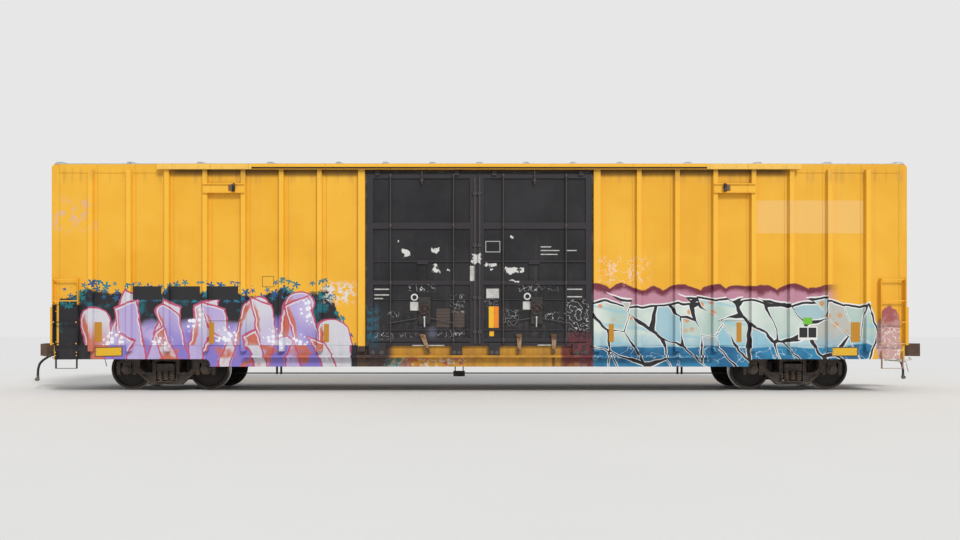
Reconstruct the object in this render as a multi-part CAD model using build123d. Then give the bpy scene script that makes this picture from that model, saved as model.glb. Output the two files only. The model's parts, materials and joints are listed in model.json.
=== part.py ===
# A sixty-foot high-cube railroad boxcar with outside posts and two plug doors on each side.
# Millimetres, +Z up. X runs along the car, the side seen in the photograph faces -Y.
# The origin is under the car's centre, on the level of the wheel flanges' lowest points.

from build123d import *
import math
import os

# Wheels and axles
TREAD_RADIUS = 457.2
FLANGE_DEPTH = 25.4
BACK_TO_BACK = 1356.0
WHEEL_WIDTH = 145.0
RIM_INNER_RADIUS = 396.0
PLATE_RECESS = 44.0
PLATE_THICKNESS = 38.0
RIM_BACK_SETBACK = 8.0
HUB_RADIUS = 128.0
HUB_LENGTH = 178.0
WHEEL_SIDES = 28
AXLE_SIDES = 12
AXLE_RADIUS = 88.0
JOURNAL_SPACING = 2007.0
TREAD_CONE = 5.0

# Heights from here on are given above the rail head, which lies one flange depth up.
RAIL = FLANGE_DEPTH

# Trucks
TRUCK_SETBACK = 2366.5
WHEELBASE = 1778.0
BEARING_RADIUS = 120.0
BEARING_WIDTH = 180.0
BEARING_CAP_RADIUS = 84.0
BEARING_CAP_DEPTH = 48.0
BEARING_SIDES = 12
ADAPTER_WIDTH = 190.0
FRAME_WIDTH = 155.0
FRAME_BOTTOM = RAIL + 111.0
FRAME_TOP = RAIL + 790.0
JAW_ROOF = RAIL + 600.0
SPRING_SEAT = RAIL + 178.0
SPRING_TOP = RAIL + 447.0
SPRING_RADIUS = 66.0
SPRING_PITCH = 138.0
SPRING_ROWS = 2
SPRING_COLUMNS = 3
SPRING_PLATE = 12.0
SPRING_SIDES = 6
BOLSTER_HALF_WIDTH = 200.0
WINDOW_HALF_WIDTH = 226.0
CENTRE_PLATE_HEIGHT = RAIL + 654.0
CENTRE_PLATE_RADIUS = 178.0
CENTRE_PLATE_SIDES = 24
BOWL_CLEARANCE = 6.0
BOWL_WALL = 30.0
BOWL_LIP = 28.0
SIDE_BEARING_OFFSET = 635.0
SIDE_BEARING_TOP = RAIL + 729.0
SIDE_BEARING_GAP = 6.0
SHOE_GAP = 6.0
SHOE_THICKNESS = 52.0
REST_GAP = 0.3

# Body shell
BODY_LENGTH = 18830.0
INSIDE_WIDTH = 2896.0
WALL_THICKNESS = 52.0
FLOOR_TOP = RAIL + 1105.0
FLOOR_THICKNESS = 57.0
STRINGER_DEPTH = 73.0
STRINGER_WIDTH = 60.0
STRINGER_Y = (520.0, 1000.0)
SHEET_BOTTOM = RAIL + 1007.0
PLATE_BOTTOM = RAIL + 4800.0
EAVE = RAIL + 5008.0
RIDGE = RAIL + 5137.0
ROOF_THICKNESS = 16.0
ROOF_RIB_HEIGHT = 45.0
ROOF_RIB_BASE = 190.0
ROOF_RIB_CREST = 90.0
ROOF_RIB_PITCH = 1030.0
ROOF_SHEET_PITCH = 1545.0
LAST_ROOF_RIB_SETBACK = 1725.0
SIDE_PLATE_PROUD = 10.0
CORNER_CHAMFER = 73.0
END_PLATE_DEPTH = 102.0
END_RIB_DEPTH = 50.0
END_RIB_SETBACK = 5.0
END_RIB_PITCH = 470.0
END_RIB_COUNT = 8
CORNER_POST_WIDTH = 70.0

# Side posts
POST_PITCH = 838.2
FIRST_POST = 3508.0
POST_FACE = 100.0
POST_BASE = 134.0
POST_DEPTH = 80.0
POST_WALL = 8.0
POST_BOTTOM = RAIL + 873.0
POST_TOP = RAIL + 4862.0
DOOR_POST_INNER = 2510.0
DOOR_POST_WIDTH = 150.0

# Side sills and underframe
SILL_BOTTOM = RAIL + 699.0
SILL_DEEP_BOTTOM = RAIL + 534.0
SILL_DEEP_HALF = 5930.0
SILL_CORNER_RADIUS = 120.0
SILL_RECESS = 6.0
SILL_WEB = 12.0
SILL_FLANGE = 62.0
CENTRE_SILL_BOTTOM = RAIL + 705.0
CENTRE_SILL_INSIDE = 326.0
CENTRE_SILL_WEB = 12.0
CENTRE_SILL_FLANGE_HALF = 230.0
CENTRE_SILL_PLATE = 15.0
STRIKER_PROJECTION = 380.0
BOLSTER_END_BOTTOM = RAIL + 880.0
BODY_BOLSTER_HALF = 180.0
CROSS_BEARER_HALF = 60.0
BEARER_X = (1257.0, 3771.0)
BEARER_DEPTH = 230.0
SMALL_BEARER_DEPTH = 110.0
END_BEARER_DEPTH = 90.0
END_SILL_DEPTH = 60.0
PLATFORM_STAND_OFF = 35.0

# Plug doors and their tracks
DOOR_POST_SETBACK = 30.0
DOOR_EDGE_GAP = 12.0
DOOR_PLUG_GAP = 10.0
DOOR_FACE_BACK = 1505.0
DOOR_SKIN = 12.0
DOOR_FRAME_DEPTH = 40.0
DOOR_OUTER_STILE = 130.0
DOOR_JOINT_OFFSET = 45.0
MAIN_LEAF_STILE = 131.0
FIRST_LEAF_STILE = 155.0
DOOR_BOTTOM = RAIL + 990.0
DOOR_TOP = RAIL + 4796.0
ROD_RADIUS = 16.5
ROD_STAND_OFF = 30.0
ROD_SPREAD = 690.0
ROD_SIDES = 6
ROD_BRACKETS = (RAIL + 1123.0, RAIL + 2378.0, RAIL + 3630.0, RAIL + 4730.0)
LOCK_HEIGHT = RAIL + 1795.0
LOCK_WHEEL_RADIUS = 120.0
LOCK_CASE_DEPTH = 50.0
LOCK_REACH = 86.0
LEVER_TOP = RAIL + 1250.0
LEVER_TIP = RAIL + 812.0
LEVER_THICKNESS = 30.0
TRACK_HALF = 7040.0
TRACK_BOTTOM = RAIL + 4858.0
TRACK_TOP = RAIL + 4980.0
TRACK_FACE = 1620.0
TRACK_PLATE = 12.0
LOWER_TRACK_HALF = 5180.0
LOWER_TRACK_BOTTOM = RAIL + 739.0
LOWER_TRACK_TOP = RAIL + 787.0

# Couplers
COUPLER_PROJECTION = 948.0
COUPLER_HEIGHT = RAIL + 876.0
SHANK_WIDTH = 140.0
SHANK_HEIGHT = 130.0
COUPLER_PIVOT_SETBACK = 85.0
HEAD_HEIGHT = 300.0
KNUCKLE_HEIGHT = 279.0
KNUCKLE_GAP = 0.3

# Ladders and steps
LADDER_SETBACK = 335.0
LADDER_WIDTH = 500.0
RUNG_HEIGHTS = [RAIL + 1015.0 + 468.0 * k for k in range(4)]
RUNG_SIZE = 22.0
STILE_DEPTH = 62.0
STILE_WIDTH = 50.0
STEP_BOTTOM = RAIL + 492.0
STEP_WIDTH = 470.0
STEP_BAR = 12.0
STEP_TREAD = 60.0
END_LADDER_Y = 1230.0
END_LADDER_WIDTH = 400.0
END_LADDER_TOP = RAIL + 1850.0
PLATFORM_HALF = 900.0
PLATFORM_DEPTH = 270.0
PLATFORM_TOP = RAIL + 1190.0
PLATFORM_PLATE = 35.0
PLATFORM_SLOTS = 3

# Air brake
PIPE_RADIUS = 21.0
PIPE_SIDE = 300.0
PIPE_HEIGHT = RAIL + 676.0
COCK_LENGTH = 110.0
RESERVOIR_X = 2500.0
RESERVOIR_RADIUS = 200.0
RESERVOIR_LENGTH = 1000.0
VALVE_X = 300.0
CYLINDER_X = -1900.0
CYLINDER_RADIUS = 140.0
ROD_HEIGHT = RAIL + 316.0
HANGER_X = 4770.0
LEVER_FRAME_X = -480.0
LEVER_FRAME_HALF = 135.0
HAND_BRAKE_Y = -620.0
HAND_BRAKE_HEIGHT = RAIL + 1900.0

# Slender round bars have this many flat sides
BAR_SIDES = 8

# Air hoses
HOSE_DIAMETER = 54.0
HOSE_SIDES = 12
HOSE_SIDE = 420.0

BODY_HALF = BODY_LENGTH / 2
DOOR_POST_OUTER = DOOR_POST_INNER + DOOR_POST_WIDTH
DOOR_OPENING = 2 * (DOOR_POST_INNER - DOOR_POST_SETBACK)
INSIDE_HALF = BODY_HALF - END_PLATE_DEPTH - END_RIB_DEPTH - END_RIB_SETBACK
LINING_Y = INSIDE_WIDTH / 2
SHEET_Y = LINING_Y + WALL_THICKNESS
FLOOR_BOTTOM = FLOOR_TOP - FLOOR_THICKNESS
MEMBER_TOP = FLOOR_BOTTOM - STRINGER_DEPTH
TRUCK_X = BODY_HALF - TRUCK_SETBACK
AXLE_HEIGHT = RAIL + TREAD_RADIUS
SILL_Y = SHEET_Y - SILL_RECESS
SILL_WEB_Y = SILL_Y - SILL_WEB
CENTRE_WEB_Y = CENTRE_SILL_INSIDE / 2 + CENTRE_SILL_WEB
JOURNAL_Y = JOURNAL_SPACING / 2
FRAME_INNER_Y = JOURNAL_Y - FRAME_WIDTH / 2
FRAME_OUTER_Y = JOURNAL_Y + FRAME_WIDTH / 2
PULLING_FACE = BODY_HALF + COUPLER_PROJECTION
STRIKER_X = BODY_HALF + STRIKER_PROJECTION
COUPLER_PIVOT_X = BODY_HALF - COUPLER_PIVOT_SETBACK
LADDER_CENTRE = BODY_HALF - LADDER_SETBACK
HOSE_ROUTE = [
    (BODY_HALF + 595.0, HOSE_SIDE, RAIL + 730.0),
    (BODY_HALF + 761.0, HOSE_SIDE, RAIL + 638.0),
    (BODY_HALF + 857.0, HOSE_SIDE, RAIL + 476.0),
    (BODY_HALF + 857.0, HOSE_SIDE, RAIL + 286.0),
]

# The side posts end before the ladder
POST_ROOM = LADDER_CENTRE - LADDER_WIDTH / 2 - POST_BASE - FIRST_POST
POST_COUNT = 1 + int(POST_ROOM / POST_PITCH)


def block(x0, x1, y0, y1, z0, z1):
    """A box between two corners."""
    middle = Pos((x0 + x1) / 2, (y0 + y1) / 2, (z0 + z1) / 2)
    return middle * Box(abs(x1 - x0), abs(y1 - y0), abs(z1 - z0))


def outline(points):
    """A closed face. A point may be (u, v), or ((um, vm), (u, v)) for an arc through its middle."""
    edges = []
    last = points[0]
    for step in points[1:]:
        if isinstance(step[0], tuple):
            edges.append(ThreePointArc(last, step[0], step[1]))
            last = step[1]
        else:
            edges.append(Line(last, step))
            last = step
    edges.append(Line(last, points[0]))
    return make_face(edges)


def along_x(points, x0, x1):
    """A (y, z) outline drawn out from x0 to x1."""
    plane = Plane(origin=(x0, 0, 0), x_dir=(0, 1, 0), z_dir=(1, 0, 0))
    return extrude(plane * outline(points), x1 - x0, dir=(1, 0, 0))


def along_y(points, y0, y1):
    """An (x, z) outline drawn out from y0 to y1."""
    plane = Plane(origin=(0, y1, 0), x_dir=(1, 0, 0), z_dir=(0, -1, 0))
    return extrude(plane * outline(points), y1 - y0, dir=(0, -1, 0))


def along_z(points, z0, z1):
    """An (x, y) outline drawn out from z0 to z1."""
    plane = Plane(origin=(0, 0, z0))
    return extrude(plane * outline(points), z1 - z0, dir=(0, 0, 1))


def bar(points, radius, sides=BAR_SIDES):
    """A bar along straight runs. Slender round bars are drawn with a few flat sides."""
    path = Polyline(*points)
    section = Plane(origin=path @ 0, z_dir=path % 0) * RegularPolygon(radius, sides)
    return sweep(section, path=path, transition=Transition.RIGHT)


def round_bar(middle, axis, radius, length, sides=BAR_SIDES):
    """A slender round bar, drawn with a few flat sides, centred on a point."""
    half = Vector(*axis).normalized() * (length / 2)
    start = Vector(*middle) - half
    section = Plane(origin=start, z_dir=axis) * RegularPolygon(radius, sides)
    return extrude(section, length, dir=axis)


def join(shapes):
    """One solid out of pieces that overlap or touch."""
    return shapes[0].fuse(*shapes[1:]).clean()


def flip_x(shape):
    return mirror(shape, about=Plane.YZ)


def flip_y(shape):
    return mirror(shape, about=Plane.XZ)


def both_sides(shape):
    return [shape, flip_y(shape)]


def both_ends(shape):
    return [shape, flip_x(shape)]


def turned(shape):
    """The same shape at the other end of the car, turned half round."""
    return Rot(0, 0, 180) * shape


def save(name, *shapes):
    """Write one node. Its solids are given one by one and don't overlap."""
    solids = []
    for shape in shapes:
        solids.extend(shape.solids())
    whole = solids[0] if len(solids) == 1 else Compound(children=solids)
    export_step(whole, os.path.join("parts", name + ".step"))


def side_wall():
    """The side from the door opening to the car's end: sheet and lining, posts and plates."""
    wall = block(DOOR_OPENING / 2, INSIDE_HALF, LINING_Y, SHEET_Y, SHEET_BOTTOM, PLATE_BOTTOM)
    outer_y = SHEET_Y + POST_DEPTH
    for k in range(POST_COUNT):
        x = FIRST_POST + POST_PITCH * k
        post = [
            (x - POST_BASE / 2, SHEET_Y),
            (x - POST_FACE / 2, outer_y),
            (x + POST_FACE / 2, outer_y),
            (x + POST_BASE / 2, SHEET_Y),
        ]
        wall += along_z(post, POST_BOTTOM, POST_TOP)
    wall += block(DOOR_POST_INNER, DOOR_POST_OUTER, SHEET_Y, outer_y, POST_BOTTOM, POST_TOP)
    plate_from = FIRST_POST + 2 * POST_PITCH
    plate_to = plate_from + POST_PITCH
    plate_top = SHEET_BOTTOM + 530.0
    plate = block(plate_from + POST_BASE / 2, plate_to - POST_BASE / 2, SHEET_Y, SHEET_Y + POST_WALL,
                  SHEET_BOTTOM, plate_top)
    wall += plate
    notch = block(DOOR_POST_INNER - 50, BODY_HALF, LINING_Y, SHEET_Y + SIDE_PLATE_PROUD,
                  PLATE_BOTTOM, POST_TOP + 1)
    return wall - notch


def side_plate():
    """The bar along the top of one side, under the eave."""
    top = EAVE - ROOF_THICKNESS
    return block(-INSIDE_HALF, INSIDE_HALF, LINING_Y, SHEET_Y + SIDE_PLATE_PROUD, PLATE_BOTTOM, top)


def roof_outline(edge_y, low, crest, thickness):
    return [
        (-edge_y, low - thickness),
        (-edge_y, low),
        (0, crest),
        (edge_y, low),
        (edge_y, low - thickness),
        (LINING_Y, low - thickness),
        (0, crest - thickness),
        (-LINING_Y, low - thickness),
    ]


def roof():
    """The peaked roof sheet with its seam caps."""
    edge_y = SHEET_Y + SIDE_PLATE_PROUD
    end_x = BODY_HALF - CORNER_CHAMFER
    shell = along_x(roof_outline(edge_y, EAVE, RIDGE, ROOF_THICKNESS), -end_x, end_x)
    slope = (RIDGE - EAVE) / edge_y
    middle = [ROOF_RIB_PITCH * k for k in (1, 2, 3)]
    outer = [BODY_HALF - LAST_ROOF_RIB_SETBACK - ROOF_SHEET_PITCH * k for k in (0, 1, 2)]
    seams = [0.0]
    for place in middle + outer + [end_x - ROOF_RIB_BASE / 2]:
        seams.extend([place, -place])
    for x in seams:
        cap = [
            (x - ROOF_RIB_BASE / 2, 0.0),
            (x - ROOF_RIB_CREST / 2, ROOF_RIB_HEIGHT),
            (x + ROOF_RIB_CREST / 2, ROOF_RIB_HEIGHT),
            (x + ROOF_RIB_BASE / 2, 0.0),
        ]
        lowered = [(u, v + EAVE - ROOF_THICKNESS / 2) for u, v in cap]
        half = along_y(lowered, 0.0, edge_y)
        lean = math.degrees(math.atan(slope))
        side = Pos(0, edge_y, EAVE) * Rot(-lean, 0, 0) * Pos(0, -edge_y, -EAVE) * half
        keep = block(x - ROOF_RIB_BASE, x + ROOF_RIB_BASE, 0.0, edge_y, EAVE - 50, RIDGE + 200)
        side = side & keep
        shell = shell + side + flip_y(side)
    return shell


def end_wall():
    """One end: plate and lining, pressed ribs and corner posts."""
    x0 = INSIDE_HALF
    x1 = x0 + END_PLATE_DEPTH
    top = EAVE - ROOF_THICKNESS
    ridge = RIDGE - ROOF_THICKNESS
    foot = FLOOR_BOTTOM
    corner = SHEET_Y - CORNER_POST_WIDTH
    face = [
        (-SHEET_Y, SHEET_BOTTOM),
        (-SHEET_Y, top),
        (-LINING_Y, top),
        (0, ridge),
        (LINING_Y, top),
        (SHEET_Y, top),
        (SHEET_Y, SHEET_BOTTOM),
        (corner, SHEET_BOTTOM),
        (corner, foot),
        (-corner, foot),
        (-corner, SHEET_BOTTOM),
    ]
    wall = along_x(face, x0, x1)
    rib_low = foot + 320.0
    for k in range(END_RIB_COUNT):
        z = rib_low + END_RIB_PITCH * k
        rib = [
            (x1, z - 165.0),
            (x1 + END_RIB_DEPTH, z - 95.0),
            (x1 + END_RIB_DEPTH, z + 95.0),
            (x1, z + 165.0),
        ]
        wall += along_y(rib, -corner + 60.0, corner - 60.0)
    for side in (-1, 1):
        inner, outer = sorted((side * corner, side * SHEET_Y))
        wall += block(x1, BODY_HALF, inner, outer, SHEET_BOTTOM, top)
    chamfer = [
        (BODY_HALF - CORNER_CHAMFER, EAVE),
        (BODY_HALF, EAVE - CORNER_CHAMFER),
        (BODY_HALF + 200, EAVE - CORNER_CHAMFER),
        (BODY_HALF + 200, RIDGE + 100),
        (BODY_HALF - CORNER_CHAMFER, RIDGE + 100),
    ]
    return wall - along_y(chamfer, -SHEET_Y - 50, SHEET_Y + 50)


def floor():
    deck = block(-INSIDE_HALF, INSIDE_HALF, -LINING_Y, LINING_Y, FLOOR_BOTTOM, FLOOR_TOP)
    for y in STRINGER_Y:
        for side in (-1, 1):
            middle = side * y
            deck += block(-INSIDE_HALF, INSIDE_HALF, middle - STRINGER_WIDTH / 2,
                          middle + STRINGER_WIDTH / 2, MEMBER_TOP, FLOOR_BOTTOM)
    return deck


def side_sill():
    """One side sill: a web that is deep between the trucks, with flanges turned inwards."""
    end_x = BODY_HALF - END_SILL_DEPTH
    deep = SILL_DEEP_HALF
    r = SILL_CORNER_RADIUS
    bend = r * (1 - math.sqrt(0.5))
    web = [
        (-end_x, SHEET_BOTTOM),
        (-end_x, SILL_BOTTOM),
        (-deep - r, SILL_BOTTOM),
        ((-deep - bend, SILL_BOTTOM - bend), (-deep, SILL_BOTTOM - r)),
        (-deep, SILL_DEEP_BOTTOM),
        (deep, SILL_DEEP_BOTTOM),
        (deep, SILL_BOTTOM - r),
        ((deep + bend, SILL_BOTTOM - bend), (deep + r, SILL_BOTTOM)),
        (end_x, SILL_BOTTOM),
        (end_x, SHEET_BOTTOM),
    ]
    sill = along_y(web, SILL_WEB_Y, SILL_Y)
    inner = SILL_WEB_Y - SILL_FLANGE
    sill += block(-end_x, end_x, LINING_Y, SILL_WEB_Y, SHEET_BOTTOM - SILL_WEB, SHEET_BOTTOM)
    sill += block(-deep, deep, inner, SILL_WEB_Y, SILL_DEEP_BOTTOM, SILL_DEEP_BOTTOM + SILL_WEB)
    for side in (-1, 1):
        low, high = sorted((side * (deep + r), side * end_x))
        sill += block(low, high, inner, SILL_WEB_Y, SILL_BOTTOM, SILL_BOTTOM + SILL_WEB)
    return sill


def end_sill():
    """Half of one end sill, from the centre sill to the corner."""
    x0 = BODY_HALF - END_SILL_DEPTH
    corner = SHEET_Y - CORNER_POST_WIDTH
    face = [
        (CENTRE_SILL_FLANGE_HALF, SILL_BOTTOM + 60.0),
        (CENTRE_SILL_FLANGE_HALF + 120.0, SILL_BOTTOM),
        (SILL_Y, SILL_BOTTOM),
        (SILL_Y, SHEET_BOTTOM),
        (corner, SHEET_BOTTOM),
        (corner, FLOOR_BOTTOM),
        (CENTRE_SILL_FLANGE_HALF, FLOOR_BOTTOM),
    ]
    return along_x(face, x0, x0 + SILL_WEB)


def centre_sill():
    """The middle beam, open below, with the body's centre plates and the strikers."""
    inner = CENTRE_SILL_INSIDE / 2
    flange = CENTRE_SILL_FLANGE_HALF
    low = CENTRE_SILL_BOTTOM
    plate = CENTRE_SILL_PLATE
    section = [
        (inner, low),
        (flange, low),
        (flange, low + plate),
        (CENTRE_WEB_Y, low + plate),
        (CENTRE_WEB_Y, FLOOR_BOTTOM - plate),
        (flange, FLOOR_BOTTOM - plate),
        (flange, FLOOR_BOTTOM),
        (-flange, FLOOR_BOTTOM),
        (-flange, FLOOR_BOTTOM - plate),
        (-CENTRE_WEB_Y, FLOOR_BOTTOM - plate),
        (-CENTRE_WEB_Y, low + plate),
        (-flange, low + plate),
        (-flange, low),
        (-inner, low),
        (-inner, FLOOR_BOTTOM - plate),
        (inner, FLOOR_BOTTOM - plate),
    ]
    beam = along_x(section, -STRIKER_X, STRIKER_X)
    filler = block(-flange, flange, -flange, flange, low - 15.0, low)
    disc_height = low - 15.0 - CENTRE_PLATE_HEIGHT
    disc_middle = (0, 0, CENTRE_PLATE_HEIGHT + disc_height / 2)
    disc = round_bar(disc_middle, (0, 0, 1), CENTRE_PLATE_RADIUS, disc_height, CENTRE_PLATE_SIDES)
    for side in (-1, 1):
        beam += Pos(side * TRUCK_X, 0, 0) * (filler + disc)
        carrier_x = side * (STRIKER_X - 40.0)
        carrier_top = COUPLER_HEIGHT - SHANK_HEIGHT / 2 - REST_GAP
        beam += block(carrier_x - 40.0, carrier_x + 40.0, -inner, inner, low, carrier_top)
    return beam


def body_bolster():
    """One arm of a body bolster with the plate that the side bearing meets."""
    arm = [
        (CENTRE_WEB_Y, CENTRE_SILL_BOTTOM + CENTRE_SILL_PLATE),
        (CENTRE_SILL_FLANGE_HALF, CENTRE_SILL_BOTTOM + CENTRE_SILL_PLATE),
        (SILL_WEB_Y, BOLSTER_END_BOTTOM),
        (SILL_WEB_Y, MEMBER_TOP),
        (CENTRE_WEB_Y, MEMBER_TOP),
    ]
    bolster = along_x(arm, TRUCK_X - BODY_BOLSTER_HALF, TRUCK_X + BODY_BOLSTER_HALF)
    pad_low = SIDE_BEARING_TOP + SIDE_BEARING_GAP
    pad = block(TRUCK_X - 150.0, TRUCK_X + 150.0, SIDE_BEARING_OFFSET - 55.0, SIDE_BEARING_OFFSET + 55.0,
                pad_low, pad_low + 60.0)
    return bolster + pad


def bearer_bottom(y, depth):
    """The height of a cross bearer's lower edge, which rises towards the side sill."""
    share = (y - CENTRE_WEB_Y) / (SILL_WEB_Y - CENTRE_WEB_Y)
    return MEMBER_TOP - depth * (1.0 - 0.45 * share)


def cross_bearer(x, depth):
    """One arm of a cross bearer, from the centre sill to the side sill."""
    arm = [
        (CENTRE_WEB_Y, bearer_bottom(CENTRE_WEB_Y, depth)),
        (SILL_WEB_Y, bearer_bottom(SILL_WEB_Y, depth)),
        (SILL_WEB_Y, MEMBER_TOP),
        (CENTRE_WEB_Y, MEMBER_TOP),
    ]
    return along_x(arm, x - CROSS_BEARER_HALF, x + CROSS_BEARER_HALF)


def upper_track():
    """The hood over the door rollers, along the side plate."""
    back = SHEET_Y + SIDE_PLATE_PROUD
    face = [
        (back, TRACK_TOP - TRACK_PLATE),
        (back, TRACK_TOP),
        (TRACK_FACE, TRACK_TOP - 14.0),
        (TRACK_FACE, TRACK_BOTTOM),
        (TRACK_FACE - 26.0, TRACK_BOTTOM),
        (TRACK_FACE - 26.0, TRACK_BOTTOM + TRACK_PLATE),
        (TRACK_FACE - TRACK_PLATE, TRACK_BOTTOM + TRACK_PLATE),
        (TRACK_FACE - TRACK_PLATE, TRACK_TOP - TRACK_PLATE - 14.0),
    ]
    return along_x(face, -TRACK_HALF, TRACK_HALF)


def lower_track():
    """The ledge that the doors roll on, with its brackets."""
    back = SILL_Y
    face = [
        (back, LOWER_TRACK_BOTTOM),
        (TRACK_FACE, LOWER_TRACK_BOTTOM),
        (TRACK_FACE, LOWER_TRACK_TOP),
        (TRACK_FACE - TRACK_PLATE, LOWER_TRACK_TOP),
        (TRACK_FACE - TRACK_PLATE, LOWER_TRACK_BOTTOM + TRACK_PLATE),
        (back, LOWER_TRACK_BOTTOM + TRACK_PLATE),
    ]
    ledge = along_x(face, -LOWER_TRACK_HALF, LOWER_TRACK_HALF)
    for k in range(-6, 7):
        x = POST_PITCH * k
        gusset = [
            (back, LOWER_TRACK_BOTTOM),
            (back, LOWER_TRACK_BOTTOM - 62.0),
            (TRACK_FACE - 25.0, LOWER_TRACK_BOTTOM - 14.0),
            (TRACK_FACE - 25.0, LOWER_TRACK_BOTTOM),
        ]
        ledge += along_x(gusset, x - 35.0, x + 35.0)
    return ledge


def plug_door(x0, meeting_stile, carrier_x):
    """One leaf from its meeting edge outwards: the plug, the framed outer skin and the lock rods."""
    x1 = DOOR_OPENING / 2 - DOOR_EDGE_GAP
    middle = (x0 + x1) / 2
    face_y = DOOR_FACE_BACK + DOOR_FRAME_DEPTH
    skin_y = DOOR_FACE_BACK + DOOR_SKIN
    door = block(x0, x1, LINING_Y, DOOR_FACE_BACK, FLOOR_TOP + DOOR_PLUG_GAP, PLATE_BOTTOM - DOOR_PLUG_GAP)
    door += block(x0, x1, DOOR_FACE_BACK, skin_y, DOOR_BOTTOM, DOOR_TOP)
    panel_from = x0 + meeting_stile
    panel_to = x1 - DOOR_OUTER_STILE
    door += block(x0, panel_from, skin_y, face_y, DOOR_BOTTOM, DOOR_TOP)
    door += block(panel_to, x1, skin_y, face_y, DOOR_BOTTOM, DOOR_TOP)
    rails = [
        (DOOR_BOTTOM, RAIL + 1060.0),
        (RAIL + 1082.0, RAIL + 1165.0),
        (RAIL + 1330.0, RAIL + 1362.0),
        (RAIL + 2335.0, RAIL + 2422.0),
        (RAIL + 2835.0, RAIL + 2862.0),
        (RAIL + 3564.0, RAIL + 3696.0),
        (RAIL + 4673.0, DOOR_TOP),
    ]
    for low, high in rails:
        door += block(panel_from, panel_to, skin_y, face_y, low, high)
    rod_y = face_y + ROD_STAND_OFF
    rod_low = DOOR_BOTTOM + 40.0
    rod_high = DOOR_TOP - 20.0
    fittings = []
    for x in (middle - ROD_SPREAD, middle + ROD_SPREAD):
        spot = (x, rod_y, (rod_low + rod_high) / 2)
        fittings.append(round_bar(spot, (0, 0, 1), ROD_RADIUS, rod_high - rod_low, ROD_SIDES))
        for z in ROD_BRACKETS:
            fittings.append(block(x - 30.0, x + 30.0, skin_y - 2.0, rod_y - 4.0, z - 46.0, z + 46.0))
    foot = LOWER_TRACK_BOTTOM + TRACK_PLATE + REST_GAP
    front = TRACK_FACE - TRACK_PLATE - 8.0
    hanger_top = TRACK_BOTTOM + TRACK_PLATE + 40.0
    for x, half in ((carrier_x, 118.0), (x1 - 235.0, 190.0)):
        fittings.append(block(x - half, x + half, skin_y, front, foot, DOOR_BOTTOM + 60.0))
        fittings.append(block(x - 50.0, x + 50.0, skin_y, TRACK_FACE - 34.0, DOOR_TOP - 60.0, hanger_top))
    return join([door] + fittings)


def lock_gear(x):
    """The hand wheel, its gear case and the small lever on one leaf."""
    back = DOOR_FACE_BACK + DOOR_SKIN
    case_front = back + LOCK_CASE_DEPTH
    front = back + LOCK_REACH
    z = LOCK_HEIGHT
    case = block(x - 130.0, x + 130.0, back, case_front, z - 330.0, z + 270.0)
    wheel = round_bar((x, (case_front + front) / 2, z), (0, 1, 0), LOCK_WHEEL_RADIUS, front - case_front, 16)
    lever = block(x - 16.0, x + 16.0, case_front, front, z - 390.0, z - 165.0)
    return case + wheel + lever


def locking_lever(x, lean):
    """A tapered lever low on a leaf, on its boss. Its tip leans to one side."""
    back = DOOR_FACE_BACK + DOOR_FRAME_DEPTH
    boss = block(x - 52.0, x + 52.0, back - 28.0, back + 12.0, LEVER_TOP - 82.0, LEVER_TOP - 22.0)
    tip = x + lean
    outline_points = [
        (x - 60.0, LEVER_TOP),
        (x + 60.0, LEVER_TOP),
        (tip + 32.0, LEVER_TIP),
        (tip - 22.0, LEVER_TIP),
    ]
    return boss + along_y(outline_points, back + 12.0, back + 12.0 + LEVER_THICKNESS)


def door_stop():
    """The stop that an open leaf runs against, with its bumper."""
    x0 = FIRST_POST + 2 * POST_PITCH - 36.0
    x1 = FIRST_POST + 3 * POST_PITCH + 36.0
    back = SHEET_Y + POST_DEPTH
    z0 = RAIL + 4345.0
    z1 = RAIL + 4557.0
    section = [
        (back, z0),
        (back + 36.0, z0),
        (back + 36.0, z0 + 10.0),
        (back + 10.0, z0 + 10.0),
        (back + 10.0, z1 - 10.0),
        (back + 36.0, z1 - 30.0),
        (back + 36.0, z1 - 20.0),
        (back + 10.0, z1),
        (back, z1),
    ]
    stop = along_x(section, x0, x1)
    bumper_x = x0 + 222.0
    stop += block(bumper_x - 24.0, bumper_x + 24.0, back - 60.0, back + 40.0, z0 + 20.0, z1 - 10.0)
    return stop


def side_ladder():
    """A ladder of angle stiles and bar rungs on the side, near the corner."""
    y0 = SHEET_Y
    y1 = y0 + STILE_DEPTH
    low = RUNG_HEIGHTS[0] - 60.0
    high = RUNG_HEIGHTS[-1] + 60.0
    low = max(low, SHEET_BOTTOM)
    ladder = None
    for side in (-1, 1):
        x = LADDER_CENTRE + side * LADDER_WIDTH / 2
        inner = x - side * STILE_WIDTH / 2
        outer = x + side * STILE_WIDTH / 2
        near, far = sorted((outer, outer - side * 10.0))
        stile = block(near, far, y0, y1 + 36.0, low, high)
        near, far = sorted((inner, outer))
        stile += block(near, far, y0, y0 + 10.0, low, high)
        ladder = stile if ladder is None else ladder + stile
    for z in RUNG_HEIGHTS:
        ladder += block(LADDER_CENTRE - LADDER_WIDTH / 2 - 20.0, LADDER_CENTRE + LADDER_WIDTH / 2 + 20.0,
                        y1 + 12.0, y1 + 12.0 + RUNG_SIZE, z + 18.0, z + 18.0 + RUNG_SIZE)
    return ladder


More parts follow.
